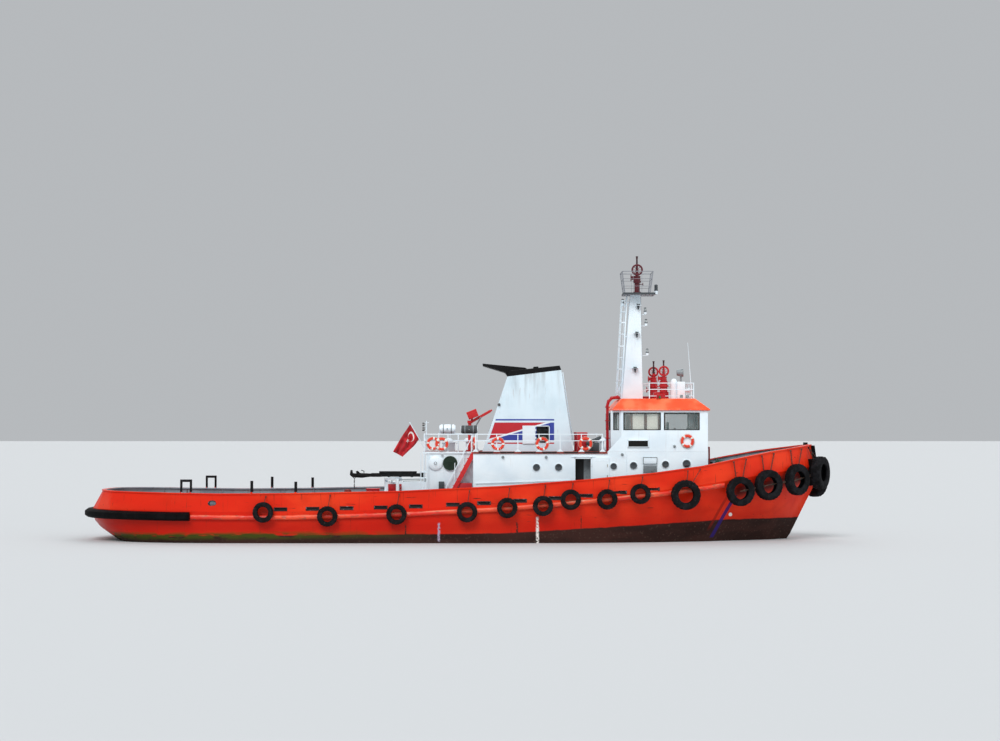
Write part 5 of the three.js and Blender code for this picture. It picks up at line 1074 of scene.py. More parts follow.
def rail_feet():
    """Bracket feet of the boat-deck rail, black strips between them that are painted shade of the slots
    under the deck edge, and a rounded edge to the deck.
    """
    bm = bmesh.new()
    for side in (-1, 1):
        outer = side * 3.058
        for k in range(7):
            x = RAIL_FORE - k * RAIL_BAY
            plate(bm, [(x - 0.16, outer, 4.545), (x + 0.16, outer, 4.545), (x + 0.045, outer, 4.66),
                       (x - 0.045, outer, 4.66)], (0, -side * 0.012, 0))
            slab(bm, (x - 0.05, outer, 4.54), (x + 0.05, side * 2.94, 4.552))
            for z in (5.1, 5.43):
                hoop(bm, (x, side * RAIL_Y, z), (1, 0, 0), 0.022, 0.012, 10, 6, 0)
        for k in range(6):
            fore = RAIL_FORE - k * RAIL_BAY - 0.17
            aft = fore - RAIL_BAY + 0.34
            # Black strips between the feet: painted shade of the slots under the deck edge
            slab(bm, (aft, side * 3.048, 4.465), (fore, side * 3.056, 4.535), 0.0, 1)
            slab(bm, (aft, side * 3.02, 4.54), (fore, side * 3.045, 4.56), 0.0, 2)
    new_piece("rail_feet", bm, [house_paint, louvre_black, boat_deck_paint])


def bulkhead_lamp(bm, centre, outward, long=0.12):
    """A caged bulkhead lamp: finish 0 the case, 1 the glass."""
    centre, outward = Vector(centre), Vector(outward)
    rod(bm, centre, centre + outward * 0.04, 0.075, 12, 0.07, 0)
    rod(bm, centre + outward * 0.035, centre + outward * long, 0.055, 12, 0.035, 1)
    for angle in (0, 90):
        turn = Matrix.Rotation(math.radians(angle), 3, outward)
        wide = turn @ Vector((0, 0, 0.07))
        front = outward * (long + 0.01)
        pipe(bm, [centre + wide, centre + wide * 0.8 + front, centre - wide * 0.8 + front, centre - wide],
             0.006, 6)


def wall_fittings():
    """Lamps, hose box, louvres, slotted grille and pipes on the house sides."""
    bm = bmesh.new()
    for side in (-1, 1):
        out = Vector((0, side, 0))
        for x, z in ((2.15, 4.27), (4.34, 4.27), (8.2, 4.4), (10.85, 4.82)):
            bulkhead_lamp(bm, (x, side * HOUSE_Y, z), out)
        root, box, lip = side * 2.995, side * 3.05, side * 3.07
        wall_bars(bm, root, box, [(9.27, 3.94, 9.95, 4.25)], 0.01, 2)
        wall_bars(bm, root, lip,
                  [(9.25, 3.92, 9.97, 3.95), (9.25, 4.24, 9.97, 4.27), (9.25, 3.92, 9.28, 4.27),
                   (9.94, 3.92, 9.97, 4.27)], 0.005, 0, 1)
        wall_bars(bm, root, box, [(9.26, 3.47, 9.96, 3.86)], 0.006, 0)
        wall_bars(bm, root, lip, [(9.29, 3.5 + k * 0.05, 9.93, 3.512 + k * 0.05) for k in range(7)])
        wall_bars(bm, root, lip,
                  [(8.47, 4.77, 9.54, 4.8), (8.47, 5.1, 9.54, 5.13), (8.47, 4.77, 8.51, 5.13),
                   (9.5, 4.77, 9.54, 5.13)], 0.006, 2, 1)
        wall_bars(bm, root, side * 3.006, [(8.5, 4.79, 9.51, 5.11)], 0.0, 3)
        wall_bars(bm, side * HOUSE_Y, side * 3.03,
                  [(8.5, 4.82 + k * 0.03, 9.51, 4.826 + k * 0.03) for k in range(9)], 0.0, 3)
        rod(bm, (8.42, side * 3.03, 3.2), (8.42, side * 3.03, 4.4), 0.012, 8, finish=2)
        for aft, fore, low, high, holders in (
                (7.7, 11.9, 3.1, 3.62, [(8.1, 3.15), (9.1, 3.27), (10.3, 3.42), (11.4, 3.56)]),
                (0.8, 5.5, 2.95, 3.1, [(x, 2.95 + (x - 0.8) * 0.032) for x in (1.6, 2.9, 4.2, 5.2)])):
            pipe(bm, [(aft, side * 3.04, low - 0.05), (aft, side * 3.06, low), (fore, side * 3.06, high),
                      (fore, side * 3.04, high - 0.05)], 0.016, 8, 2)
            for x, z in holders:
                rod(bm, (x, side * HOUSE_Y, z), (x, side * 3.06, z), 0.01, 8, finish=2)
    new_piece("wall_fittings", bm, [machine_grey, lamp_glass, house_paint, louvre_black])


def fan_discs():
    """The two round fan openings of the after deckhouse: one lid shut, one grille open, on both sides."""
    bm = bmesh.new()
    for side in (-1, 1):
        out = (0, side, 0)
        lathe(bm, [(0.36, -0.005), (0.36, 0.066), (0.345, 0.078), (0.1, 0.096), (0.0005, 0.097)],
              (-1.3, side * AFT_HOUSE_Y, 3.95), out, 40)
        rod(bm, (-1.3, side * 2.18, 3.95), (-1.3, side * 2.24, 3.95), 0.03, 10)
        hoop(bm, (-1.3, side * 2.25, 3.95), out, 0.07, 0.012, 20, 6, 1)
        lathe(bm,
              [(0.37, -0.005), (0.37, 0.085), (0.355, 0.092), (0.33, 0.088), (0.325, 0.05),
               (0.0005, 0.049)], (-0.55, side * AFT_HOUSE_Y, 3.95), out, 40, 2)
        for k in range(3):
            hoop(bm, (-0.55, side * 2.178, 3.95), out, 0.09 + 0.08 * k, 0.006, 32, 6, 2)
        for k in range(6):
            turn = math.radians(30 * k)
            hub = Vector((-0.55, side * 2.18, 3.95))
            reach = Vector((math.cos(turn), 0, math.sin(turn))) * 0.33
            rod(bm, hub - reach, hub + reach, 0.006, 6, finish=2)
        rod(bm, (-1.66, side * 2.13, 2.5), (-1.66, side * 2.13, 4.45), 0.03, 10)
        bulkhead_lamp(bm, (-0.95, side * AFT_HOUSE_Y, 4.36), out)
        slab(bm, (-1.126, side * AFT_HOUSE_Y, 2.584), (-0.854, side * 2.416, 3.016), 0.005, 3)
    new_piece("fan_openings", bm, [house_paint, machine_grey, fan_green, dark_grey])


def stair_rails():
    """Posts between the stringers and the handrails of each stair."""
    bm = bmesh.new()
    for side in (-1, 1):
        for y in (2.26, 2.92):
            for x in (-0.3, 0.14):
                low, high = 2.33 + 1.49 * (x + 0.82), 3.27 + 1.522 * (x + 0.76)
                rod(bm, (x, side * y, low), (x, side * y, high), 0.014, 8)
    new_piece("stair_rails", bm, [house_paint])


buoy_orange = gear_enamel("lifebuoy_shell", "#e23a1c", "#b83018", 0.55, 0.5)
buoy_white = gear_enamel("lifebuoy_band", "#eceae4", "#c9c3b8", 0.5, 0.5)
line_white = gear_enamel("grab_line", "#d8d2c4", "#a89c86", 0.9, 0.6)
fan_green = gear_enamel("fan_green_enamel", "#17301f", "#0d1a12", 0.55, 0.6)

lifebuoys()
rail_feet()
wall_fittings()
fan_discs()
stair_rails()


def funnel_fittings():
    """Exhausts in the cap, a ladder up the fore face, lamp, louvres aft and dogs round the doorway."""
    bm = bmesh.new()
    for y, radius in ((-0.5, 0.12), (0.0, 0.14), (0.5, 0.12)):
        rod(bm, (3.9, y, 8.5), (3.87, y, 8.94), radius, 20)
    for side in (-1, 1):
        bulkhead_lamp(bm, (1.95, side * 1.45, 6.95), (0, side, 0), 0.1)
    # The ladder's stiles stand 0.12 m off the funnel's fore face, which leans aft
    lean = (5.77 - 5.16) / (8.74 - 4.54)
    for y in (-0.22, 0.22):
        pipe(bm, [(5.89 - lean * 0.3, y, 4.84), (5.28, y, 8.66)], 0.02, 8, 3)
    for k in range(12):
        z = 4.95 + k * 0.31
        x = 5.89 - lean * (z - 4.54)
        rod(bm, (x, -0.22, z), (x, 0.22, z), 0.014, 8, finish=3)
        if k % 4 == 1:
            for y in (-0.22, 0.22):
                rod(bm, (x - 0.13, y, z), (x, y, z), 0.014, 8, finish=3)
    for row in range(8):
        z = 5.6 + row * 0.09
        x = 1.09 + FUNNEL_LEAN * (z - 4.54)
        slab(bm, (x - 0.035, -0.6, z), (x + 0.02, 0.6, z + 0.03), 0.006, 2, 1)
    slab(bm, (1.07 + FUNNEL_LEAN * 0.98, -0.66, 5.52), (1.09 + FUNNEL_LEAN * 1.82, 0.66, 5.55), 0.006, 3, 1)
    wall_bars(bm, -1.4535, -1.449,
              [(3.88, 4.94, 4.56, 4.98), (3.88, 5.83, 4.56, 5.87), (4.52, 4.94, 4.56, 5.87)],
              finish=3)
    new_piece("funnel_fittings", bm, [soot_black, lamp_glass, machine_grey, house_paint])


RAFT_Y = -1.35


def liferaft_bands():
    """Steel bands, seams and releases on the canisters, and the dark cover on the forward one."""
    bm = bmesh.new()
    for aft, fore, radius, finish in ((-1.12, -0.3, 0.23, 0), (-0.02, 0.84, 0.2, 1)):
        z = 5.47 + radius
        bands = []
        if finish:
            cover = [(radius * 0.84, 0.02), (radius + 0.012, 0.07), (radius + 0.014, fore - aft - 0.07),
                     (radius * 0.84, fore - aft - 0.02), (0.001, fore - aft + 0.004)]
            for profile in (cover, [(0.001, -0.004), (radius * 0.84, 0.02)]):
                lathe(bm, profile, (aft, RAFT_Y, z), (1, 0, 0), 28, 2)
        for share in (0.25, 0.75):
            x = aft + (fore - aft) * share
            bands.append((x, 0.022, 0.022, 0))
        middle = (aft + fore) / 2
        for x, proud, half, colour in bands + [(middle, 0.016, 0.012, 2 if finish else 3)]:
            lathe(bm, [(radius + 0.002, -half), (radius + proud, -half), (radius + proud, half),
                       (radius + 0.002, half)], (x, RAFT_Y, z), (1, 0, 0), 28, colour)
        rod(bm, (middle, RAFT_Y - radius, z), (middle, RAFT_Y - radius - 0.06, z), 0.035, 10)
    for k in range(2):
        slab(bm, (-1.14 + k * 0.9, -1.6, 4.93), (-1.1 + k * 0.9, -1.08, 4.97), 0.005)
    new_piece("liferaft_bands", bm, [machine_grey, machine_grey, raft_cover, house_paint])


def deck_crane():
    """The small red davit abaft the funnel, its box and its raised arm, beside the stern light post."""
    bm = bmesh.new()
    x, y = 0.42, 0.1
    for low, high, radius, end_radius in ((BOAT_DECK_TOP, 4.6, 0.2, 0.2), (4.55, 6.05, 0.1, 0.085),
                                          (6.0, 6.14, 0.13, 0.13)):
        rod(bm, (x, y, low), (x, y, high), radius, 20, end_radius)
    tilt = Matrix.Translation((0.34, 0.1, 5.98)) @ Matrix.Rotation(math.radians(-29.7), 4, "Y")
    slab(bm, (-0.01, -0.06, -0.07), (1.32, 0.06, 0.07), 0.006, 0, 2, tilt)
    slab(bm, (1.3, -0.045, -0.05), (1.43, 0.045, 0.05), 0.012, 0, 2, tilt)
    box_tilt = Matrix.Translation((0.56, 0.1, 6.47)) @ Matrix.Rotation(math.radians(-22), 4, "Y")
    slab(bm, (-0.271, -0.241, -0.201), (0.271, 0.241, 0.201), 0.006, 0, 2, box_tilt)
    slab(bm, (-0.28, -0.25, 0.12), (0.28, 0.25, 0.16), 0.008, 0, 1, box_tilt)
    rod(bm, (0.5, 0.1, 6.0), (0.56, 0.1, 6.4), 0.052, 12)
    rod(bm, (0.44, -0.01, 5.35), (1.0, -0.01, 6.32), 0.035, 12, finish=1)
    new_piece("boat_davit", bm, [stair_red, machine_grey])


def stern_light_post():
    """The post of the stern and towing lights, a lamp, and the poles at the boat deck's after corners."""
    bm = bmesh.new()
    lamp_x, y = -1.98, -0.35
    rod(bm, (-1.83, y, BOAT_DECK_TOP), (-1.83, y, 6.124), 0.031, 12)
    for z in (5.6, 5.84):
        slab(bm, (-2.01, -0.38, z - 0.005), (-1.82, -0.32, z + 0.023), 0.003)
        for low, high, radius, end_radius, finish in ((0, 0.05, 0.066, 0.066, 1),
                                                      (0.05, 0.15, 0.062, 0.062, 2),
                                                      (0.15, 0.185, 0.066, 0.05, 1)):
            rod(bm, (lamp_x, y, z + low), (lamp_x, y, z + high), radius, 16, end_radius, finish)
    rod(bm, (-1.95, y, 6.02), (-1.7, y, 6.02), 0.012, 8)
    bulkhead_lamp(bm, (-1.86, 0.9, 5.4), (-1, 0, 0))
    for side in (-1, 1):
        for x in (-1.86, -2.02):
            rod(bm, (x, side * 2.75, deck_z(x) - 0.01), (x, side * 2.75, 4.5), 0.022, 10)
    new_piece("stern_light_post", bm, [house_paint, louvre_black, lamp_glass])


def boat_deck_gear():
    """Lockers, vents and covered gear on the boat deck, and the locker under each stair."""
    bm = bmesh.new()
    for side in (-1, 1):
        slab(bm, (5.95, side * 1.75, BOAT_DECK_TOP), (6.45, side * 2.3, 5.5), 0.004)
        slab(bm, (5.93, side * 1.73, 5.44), (6.47, side * 2.32, 5.53), 0.02)
    for x, y, high in ((7.2, -2.35, 5.2), (6.75, -1.0, 5.1), (6.75, 1.1, 5.1), (7.2, 2.3, 5.2),
                       (-0.7, 1.4, 5.15), (0.3, 1.5, 5.15)):
        rod(bm, (x, y, BOAT_DECK_TOP), (x, y, high - 0.1), 0.112, 18, finish=1)
        lathe(bm,
              [(0.12, -0.126), (0.213, -0.126), (0.219, -0.08), (0.19, 0.0), (0.12, 0.048), (0.001, 0.07)],
              (x, y, high), (0, 0, 1), 24, 1)
    slab(bm, (6.5, -2.6, BOAT_DECK_TOP), (7.05, -1.5, 5.0), 0.006, 2)
    lean = Matrix.Translation((6.78, -2.05, 5.1)) @ Matrix.Rotation(math.radians(-24), 4, "Y")
    slab(bm, (-0.42, -0.48, -0.09), (0.42, 0.48, 0.09), 0.05, 2, 3, lean)
    slab(bm, (-1.0, -0.55, BOAT_DECK_TOP), (-0.35, 0.45, 4.98), 0.005, 1)
    slab(bm, (-1.03, -0.58, 4.94), (-0.32, 0.48, 5.02), 0.02, 1)
    for side in (-1, 1):
        slab(bm, (-0.1, side * 2.3, deck_z(0.2) - 0.01), (0.58, side * 2.86, 2.95), 0.012)
    new_piece("boat_deck_gear", bm, [signal_red, house_paint, dark_grey])


raft_cover = gear_enamel("raft_cover", "#45484a", "#33373a", 0.75, 0.5)
funnel_fittings()
liferaft_bands()
deck_crane()
stern_light_post()
boat_deck_gear()


# Mast, roof and monitors

def mast_fittings():
    """Lamps on the mast's arms and on the platform, the cable trunk, and the ladder's cage."""
    bm = bmesh.new()
    for x, z in ((9.6, 11.7), (9.64, 11.1), (9.7, 9.55), (8.42, 12.15)):
        rod(bm, (x, 0, z + 0.13), (x, 0, z + 0.17), 0.085, 16)
        rod(bm, (x, 0, z + 0.17), (x, 0, z + 0.31), 0.07, 16, finish=1)
        rod(bm, (x, 0, z + 0.31), (x, 0, z + 0.35), 0.08, 16, 0.04)
    for z in (8.87, 10.7, 12.15):
        share = (z - 7.25) / 5.45
        y = -(0.43 - 0.18 * share)
        x = 8.8 + 0.3 * share
        slab(bm, (x - 0.02, y - 0.26, z - 0.03), (x + 0.3, y + 0.02, z), 0.005, 2)
        rod(bm, (x + 0.14, y - 0.14, z), (x + 0.14, y - 0.14, z + 0.06), 0.09, 14)
        rod(bm, (x + 0.14, y - 0.14, z - 0.03), (x + 0.14, y - 0.14, z - 0.24), 0.075, 14, 0.03)
    for low, high, radius, end_radius, finish in (
            (12.745, 12.95, 0.087, 0.087, 2), (12.93, 12.98, 0.1, 0.1, 0), (12.98, 13.2, 0.088, 0.088, 0),
            (13.2, 13.26, 0.1, 0.05, 0)):
        rod(bm, (10.17, 0, low), (10.17, 0, high), radius, 16, end_radius, finish)
    pipe(bm, [(9.42, 0.12, 7.3), (9.335, 0.12, 12.6)], 0.018, 8, 0)
    pipe(bm, [(9.44, -0.1, 7.3), (9.355, -0.1, 12.6)], 0.012, 8, 0)
    ladder_half = 0.21

    def ladder_x(z):
        return 8.33 + (8.64 - 8.33) / (12.65 - 7.29) * (z - 7.29)

    def cage_corners(z):
        return [Vector((ladder_x(z) - 0.3 * out, ladder_half * across, z)) for out, across in (
            (0.0, 1.0), (0.75, 1.2), (1.0, 0.0), (0.75, -1.2), (0.0, -1.0))]

    for z in (8.25, 9.43, 10.65, 11.83):
        pipe(bm, cage_corners(z), 0.012, 6, 2)
    low, high = cage_corners(7.56), cage_corners(12.4)
    for foot, head, next_foot, next_head in zip(low[1:], high[1:], low[2:], high[2:]):
        pipe(bm, [(foot + next_foot) / 2, (head + next_head) / 2], 0.01, 6, 2)
    for k in range(18):
        x, z = ladder_x(7.55 + k * 0.29), 7.55 + k * 0.29
        rod(bm, (x, -ladder_half, z), (x, ladder_half, z), 0.012, 6, finish=2)
    for y in (-ladder_half, ladder_half):
        for low_z, high_z in ((7.35, 8.15), (8.15, 7.35)):
            rod(bm, (8.06, y, low_z), (8.36, y, high_z), 0.012, 6, finish=2)
    new_piece("mast_fittings", bm, [dark_grey, lamp_glass, house_paint])


def basket_fittings():
    """Grating ribs and edge strips of the platform, posts of its basket, and the monitor's column."""
    bm = bmesh.new()
    for k in range(9):
        x = 8.5 + k * 0.185
        slab(bm, (x, -0.77, 12.68), (x + 0.02, 0.77, 12.702), 0.0)
    for y0, y1, x0, x1 in ((-0.788, -0.78, 8.412, 10.068), (0.78, 0.788, 8.412, 10.068),
                           (-0.78, 0.78, 8.412, 8.42), (-0.78, 0.78, 10.06, 10.068)):
        slab(bm, (x0, y0, 12.69), (x1, y1, 12.79), 0.0, 2)
    for x in (8.93, 9.37):
        for side in (-1, 1):
            rod(bm, (x, side * 0.77, 12.75), (x, side * 0.91, 13.88), 0.009, 6)
    for side in (-1, 1):
        rod(bm, (8.5, side * 0.25, 12.75), (8.35, side * 0.27, 13.88), 0.009, 6)
        rod(bm, (9.8, side * 0.25, 12.75), (9.95, side * 0.27, 13.88), 0.009, 6)
    for z0, z1, radius in ((12.774, 13.398, 0.135), (12.81, 12.876, 0.196), (13.34, 13.398, 0.2)):
        rod(bm, (9.17, 0, z0), (9.17, 0, z1), radius, 28, finish=1)
    rod(bm, (9.2, 0, 13.27), (9.5, 0, 13.27), 0.022, 10, finish=1)
    hoop(bm, (9.48, 0, 13.27), (1, 0, 0), 0.075, 0.014, 20, 8, 1)
    new_piece("basket_fittings", bm, [basket_grey, monitor_maroon, dark_grey])


def monitor_dress(name, x, y, z, size, finish):
    """Gear case, handwheels and flanges on a fire monitor's turning body."""
    bm = bmesh.new()
    pivot = z + 0.43 * size
    side = 1 if y > 0 else -1
    for low, high, radius in ((0.004, 0.054, 0.213 * size), (0.05, 0.302 * size, 0.174 * size),
                              (0.09 * size, 0.13 * size, 0.195 * size),
                              (0.235 * size, 0.275 * size, 0.195 * size)):
        rod(bm, (x, y, z + low), (x, y, z + high), radius, 28)
    slab(bm, (x - 0.277 * size, y - 0.101 * size, z + 0.104 * size),
         (x, y + 0.101 * size, z + 0.296 * size), 0.006)
    wheel = Vector((x, y + side * 0.19 * size, pivot + 0.18 * size))
    cushion_ring(bm, wheel, (0, 1, 0), 0.256 * size, 0.048, 0.034, 36)
    for turn in map(math.radians, (45, 135, 225, 315, 0, 180)):
        rod(bm, wheel, wheel + Vector((math.cos(turn), 0, math.sin(turn))) * 0.26 * size, 0.013, 8)
    rod(bm, wheel - Vector((0, side * 0.06 * size, 0)), wheel + Vector((0, side * 0.045, 0)), 0.045, 14)
    back = Vector((x - 0.31 * size, y - side * 0.02, z + 0.2 * size))
    hoop(bm, back, (1, 0, 0), 0.17 * size, 0.018, 30, 8)
    rod(bm, back - Vector((0.02, 0, 0)), back + Vector((0.06 * size, 0, 0)), 0.028, 10)
    for reach in (Vector((0, 0.17 * size, 0)), Vector((0, 0, 0.17 * size))):
        rod(bm, back - reach, back + reach, 0.01, 8)
    for edge in (-1, 1):
        rod(bm, (x, y + edge * 0.12 * size, pivot), (x, y + edge * 0.15 * size, pivot), 0.085 * size, 16)
    new_piece(f"{name}_dress", bm, [finish], name)


def monitor_nozzle(name, x, y, pivot, length, size):
    """Flanges, stream straightener and nozzle lip on a monitor's barrel."""
    bm = bmesh.new()
    for share, radius in ((0.16, 0.1), (0.52, 0.078), (0.99, 0.066)):
        z = pivot + length * share
        rod(bm, (x, y, z - 0.014), (x, y, z + 0.014), radius * size, 18)
    low, high = (Vector((x, y, pivot + length * share)) for share in (0.16, 0.52))
    for turn in map(math.radians, (45, 135, 225, 315)):
        out = Vector((math.cos(turn), math.sin(turn), 0)) * 0.075 * size
        rod(bm, low + out, high + out * 0.8, 0.01, 6)
    new_piece(f"{name}_nozzle", bm, [barrel_dark], name)


def roof_fittings():
    """Valves and flanges of the fire main, lamps along the eave, horn, and the boxes of the side lights."""
    bm = bmesh.new()
    for x, y in ((10.5, -0.65), (10.08, 0.65)):
        for z0, z1, radius in ((7.248, 7.296, 0.278), (7.6, 7.64, 0.225), (7.884, 7.976, 0.258),
                               (8.1, 8.148, 0.225)):
            rod(bm, (x, y, z0), (x, y, z1), radius, 28)
        rod(bm, (x - 0.1, y, 7.76), (x - 0.36, y, 7.76), 0.05, 12)
        wheel = Vector((x - 0.36, y, 7.76))
        hoop(bm, wheel, (1, 0, 0), 0.15, 0.018, 28, 8, 0)
        for reach in (Vector((0, 0.15, 0)), Vector((0, 0, 0.15))):
            rod(bm, wheel - reach, wheel + reach, 0.01, 6)
    slab(bm, (10.0, -0.75, 7.25), (10.75, 0.75, 7.62), 0.02)
    for z in (5.2, 6.1, 6.8):
        rod(bm, (7.54, -1.3, z), (7.54, -1.3, z + 0.05), 0.13, 20)
    for x, side in ((11.26, -1), (11.56, -1), (11.4, 1)):
        slab(bm, (x - 0.076, side * 2.41 - 0.091, 7.284), (x + 0.076, side * 2.41 + 0.091, 7.436), 0.006, 1)
        slab(bm, (x - 0.06, side * 2.5, 7.3), (x + 0.06, side * 2.508, 7.42), 0.002, 2, 1)
    slab(bm, (11.16, -1.2, 7.25), (11.56, -0.8, 8.14), 0.02, 3)
    for y in (-0.25, 0.25):
        lathe(bm,
              [(0.001, -0.014), (0.034, -0.01), (0.042, 0.02), (0.105, 0.414), (0.125, 0.435), (0.12, 0.44),
               (0.1, 0.43), (0.001, 0.424)], (11.46, y, 7.68), (0.41, 0, 0.04), 24, 3)
    for side, glow in ((-1, 4), (1, 5)):
        slab(bm, (9.98, side * 2.52, 7.26), (10.42, side * 2.56, 7.46), 0.006)
        slab(bm, (9.98, side * 2.56, 7.24), (10.01, side * 2.72, 7.44), 0.004)
        rod(bm, (10.14, side * 2.62, 7.26), (10.14, side * 2.62, 7.38), 0.05, 14, finish=glow)
    for side in (-1, 1):
        for k in range(9):
            x = 8.0 + k * 0.52
            rod(bm, (x, side * 3.1, 6.66), (x, side * 3.118, 6.66), 0.018, 8, finish=1)
    new_piece("roof_fittings", bm,
              [signal_red, machine_grey, lamp_glass, house_paint, light_green, light_red])


def bridge_inside():
    """What shows through the bridge windows: wooden frames and panels, chairs, console tops, the floor."""
    bm = bmesh.new()
    for side in (-1, 1):
        wall_bars(bm, side * 2.84, side * 2.9, [(aft, 5.62, fore, 6.56) for aft, fore in (
            (8.63, 8.73), (9.33, 9.46), (10.02, 10.13), (10.36, 10.4), (12.06, 12.1))], 0.01)
        wall_bars(bm, side * 2.84, side * 2.9, [(8.3, 6.47, 10.13, 6.56)], 0.01)
        wall_bars(bm, side * 2.84, side * 2.86, [(8.74, 5.66, 9.32, 6.46), (9.47, 5.66, 10.01, 6.46)],
                  finish=1)
    for y in (-1.0, 1.0):
        rod(bm, (10.9, y, 4.65), (10.9, y, 5.2), 0.05, 14, finish=3)
        slab(bm, (10.66, y - 0.26, 5.2), (11.14, y + 0.26, 5.32), 0.05, 2, 3)
        slab(bm, (10.62, y - 0.25, 5.3), (10.72, y + 0.25, 6.05), 0.04, 2, 3)
    for y in (-1.1, -0.45, 0.45, 1.1):
        slab(bm, (11.85, y - 0.17, 5.5), (12.1, y + 0.17, 5.78), 0.03, 3)
    slab(bm, (8.0, -2.85, 4.63), (12.4, 2.85, 4.66), 0.0)
    new_piece("bridge_inside", bm, [teak, cream_panel, dark_grey, machine_grey])


cream_panel = gear_enamel("cream_panel", "#f3efe2", "#e2dccb", 0.5, 0.3)
light_green = gear_enamel("starboard_light_green", "#1f6b3a", "#15452a", 0.4, 0.4)
light_red = gear_enamel("port_light_red", "#8f1a1c", "#5e1412", 0.4, 0.4)
mast_fittings()
basket_fittings()
roof_fittings()
bridge_inside()
for monitor, place_x, place_y, place_z, scale, length, body_paint in (
        ("mast_monitor", 9.17, 0.0, 13.4, 1.0, 0.9, monitor_maroon),
        ("roof_monitor_stbd", 10.5, -0.65, 8.15, 0.9, 0.72, signal_red),
        ("roof_monitor_port", 10.08, 0.65, 8.15, 0.9, 0.72, signal_red)):
    monitor_dress(monitor, place_x, place_y, place_z, scale, body_paint)
    monitor_nozzle(f"{monitor}_barrel", place_x, place_y, place_z + 0.43 * scale, length, scale)


# Main deck: stays, freeing ports, towing gear, hatches and mooring gear

# Stays of the stern and bow as places along the length; those of the sides are in the plating
END_STAYS = [-17.2, -16.1, -14.9, 11.9, 13.2, 14.5, 15.8, 16.9]


def bulwark_stays():
    """Plate brackets that hold the bulwark up at the stern and the bow, each on a foot on the deck."""
    bm = bmesh.new()
    for side in (-1, 1):
        for x in END_STAYS:
            low = deck_z(x)
            inner = bulwark_inside(x, side, low + 0.45)
            upper = bulwark_inside(x, side, low + 0.72)
            if inner is None or upper is None:
                continue
            foot = side * (abs(inner.y) - 0.34)
            plate(bm,
                  [(x, foot, low - 0.01), (x, foot + side * 0.04, low + 0.12),
                   (x, upper.y - side * 0.05, low + 0.78), (x, upper.y + side * 0.01, low + 0.78),
                   (x, inner.y + side * 0.02, low - 0.01)], (0.014, 0, 0))
            slab(bm, (x - 0.04, foot, low - 0.01), (x + 0.054, foot - side * 0.02, low + 0.14), 0.004, 0, 1)
    new_piece("bulwark_stays", bm, [bulwark_paint])


FREEING_PORTS = [-8.95, -7.35, -5.65, -3.95, -2.2, -0.35, 1.2, 3.0, 4.75, 6.3, 8.0, 9.65]


def freeing_ports():
    """Rims of the freeing ports with the flaps that hang in them."""
    bm = bmesh.new()
    for side in (-1, 1):
        for k, x in enumerate(FREEING_PORTS):
            z = deck_z(x) + 0.05
            outer = bulwark_outside(x + 0.4, side, z + 0.06)
            wall_bars(bm, outer.y - side * 0.02, outer.y + side * 0.022, [
                (x - 0.33, z - 0.03, x + 0.33, z + 0.002), (x - 0.33, z + 0.128, x + 0.33, z + 0.16),
                (x - 0.34, z - 0.03, x - 0.305, z + 0.16), (x + 0.305, z - 0.03, x + 0.34, z + 0.16)],
                      0.006, 0, 1)
            tilt = Matrix.Translation((x, outer.y - side * 0.05, z + 0.125)) @ Matrix.Rotation(
                math.radians(side * (6 + 5 * (k % 3))), 4, "X")
            slab(bm, (-0.3, -0.006, -0.125), (0.3, 0.006, 0.0), 0.003, 1, 1, tilt)
    new_piece("freeing_ports", bm, [flap_black, steel_black])


def mooring_holes():
    """Oval rims of the quarter fairleads."""
    bm = bmesh.new()
    for side in (-1, 1):
        outer = bulwark_outside(-12.9, side, 1.98)
        for depth in (0.012, -0.09):
            before = set(bm.verts)
            hoop(bm, (0, 0, 0), (0, 1, 0), 0.13, 0.028, 32, 10)
            made = [v for v in bm.verts if v not in before]
            place = Matrix.Translation((-12.35, outer.y + side * depth, 1.98))
            bmesh.ops.transform(bm, matrix=place @ Matrix.Diagonal((1.55, 1.0, 1.0, 1.0)), verts=made)
    new_piece("quarter_fairleads", bm, [flap_black])


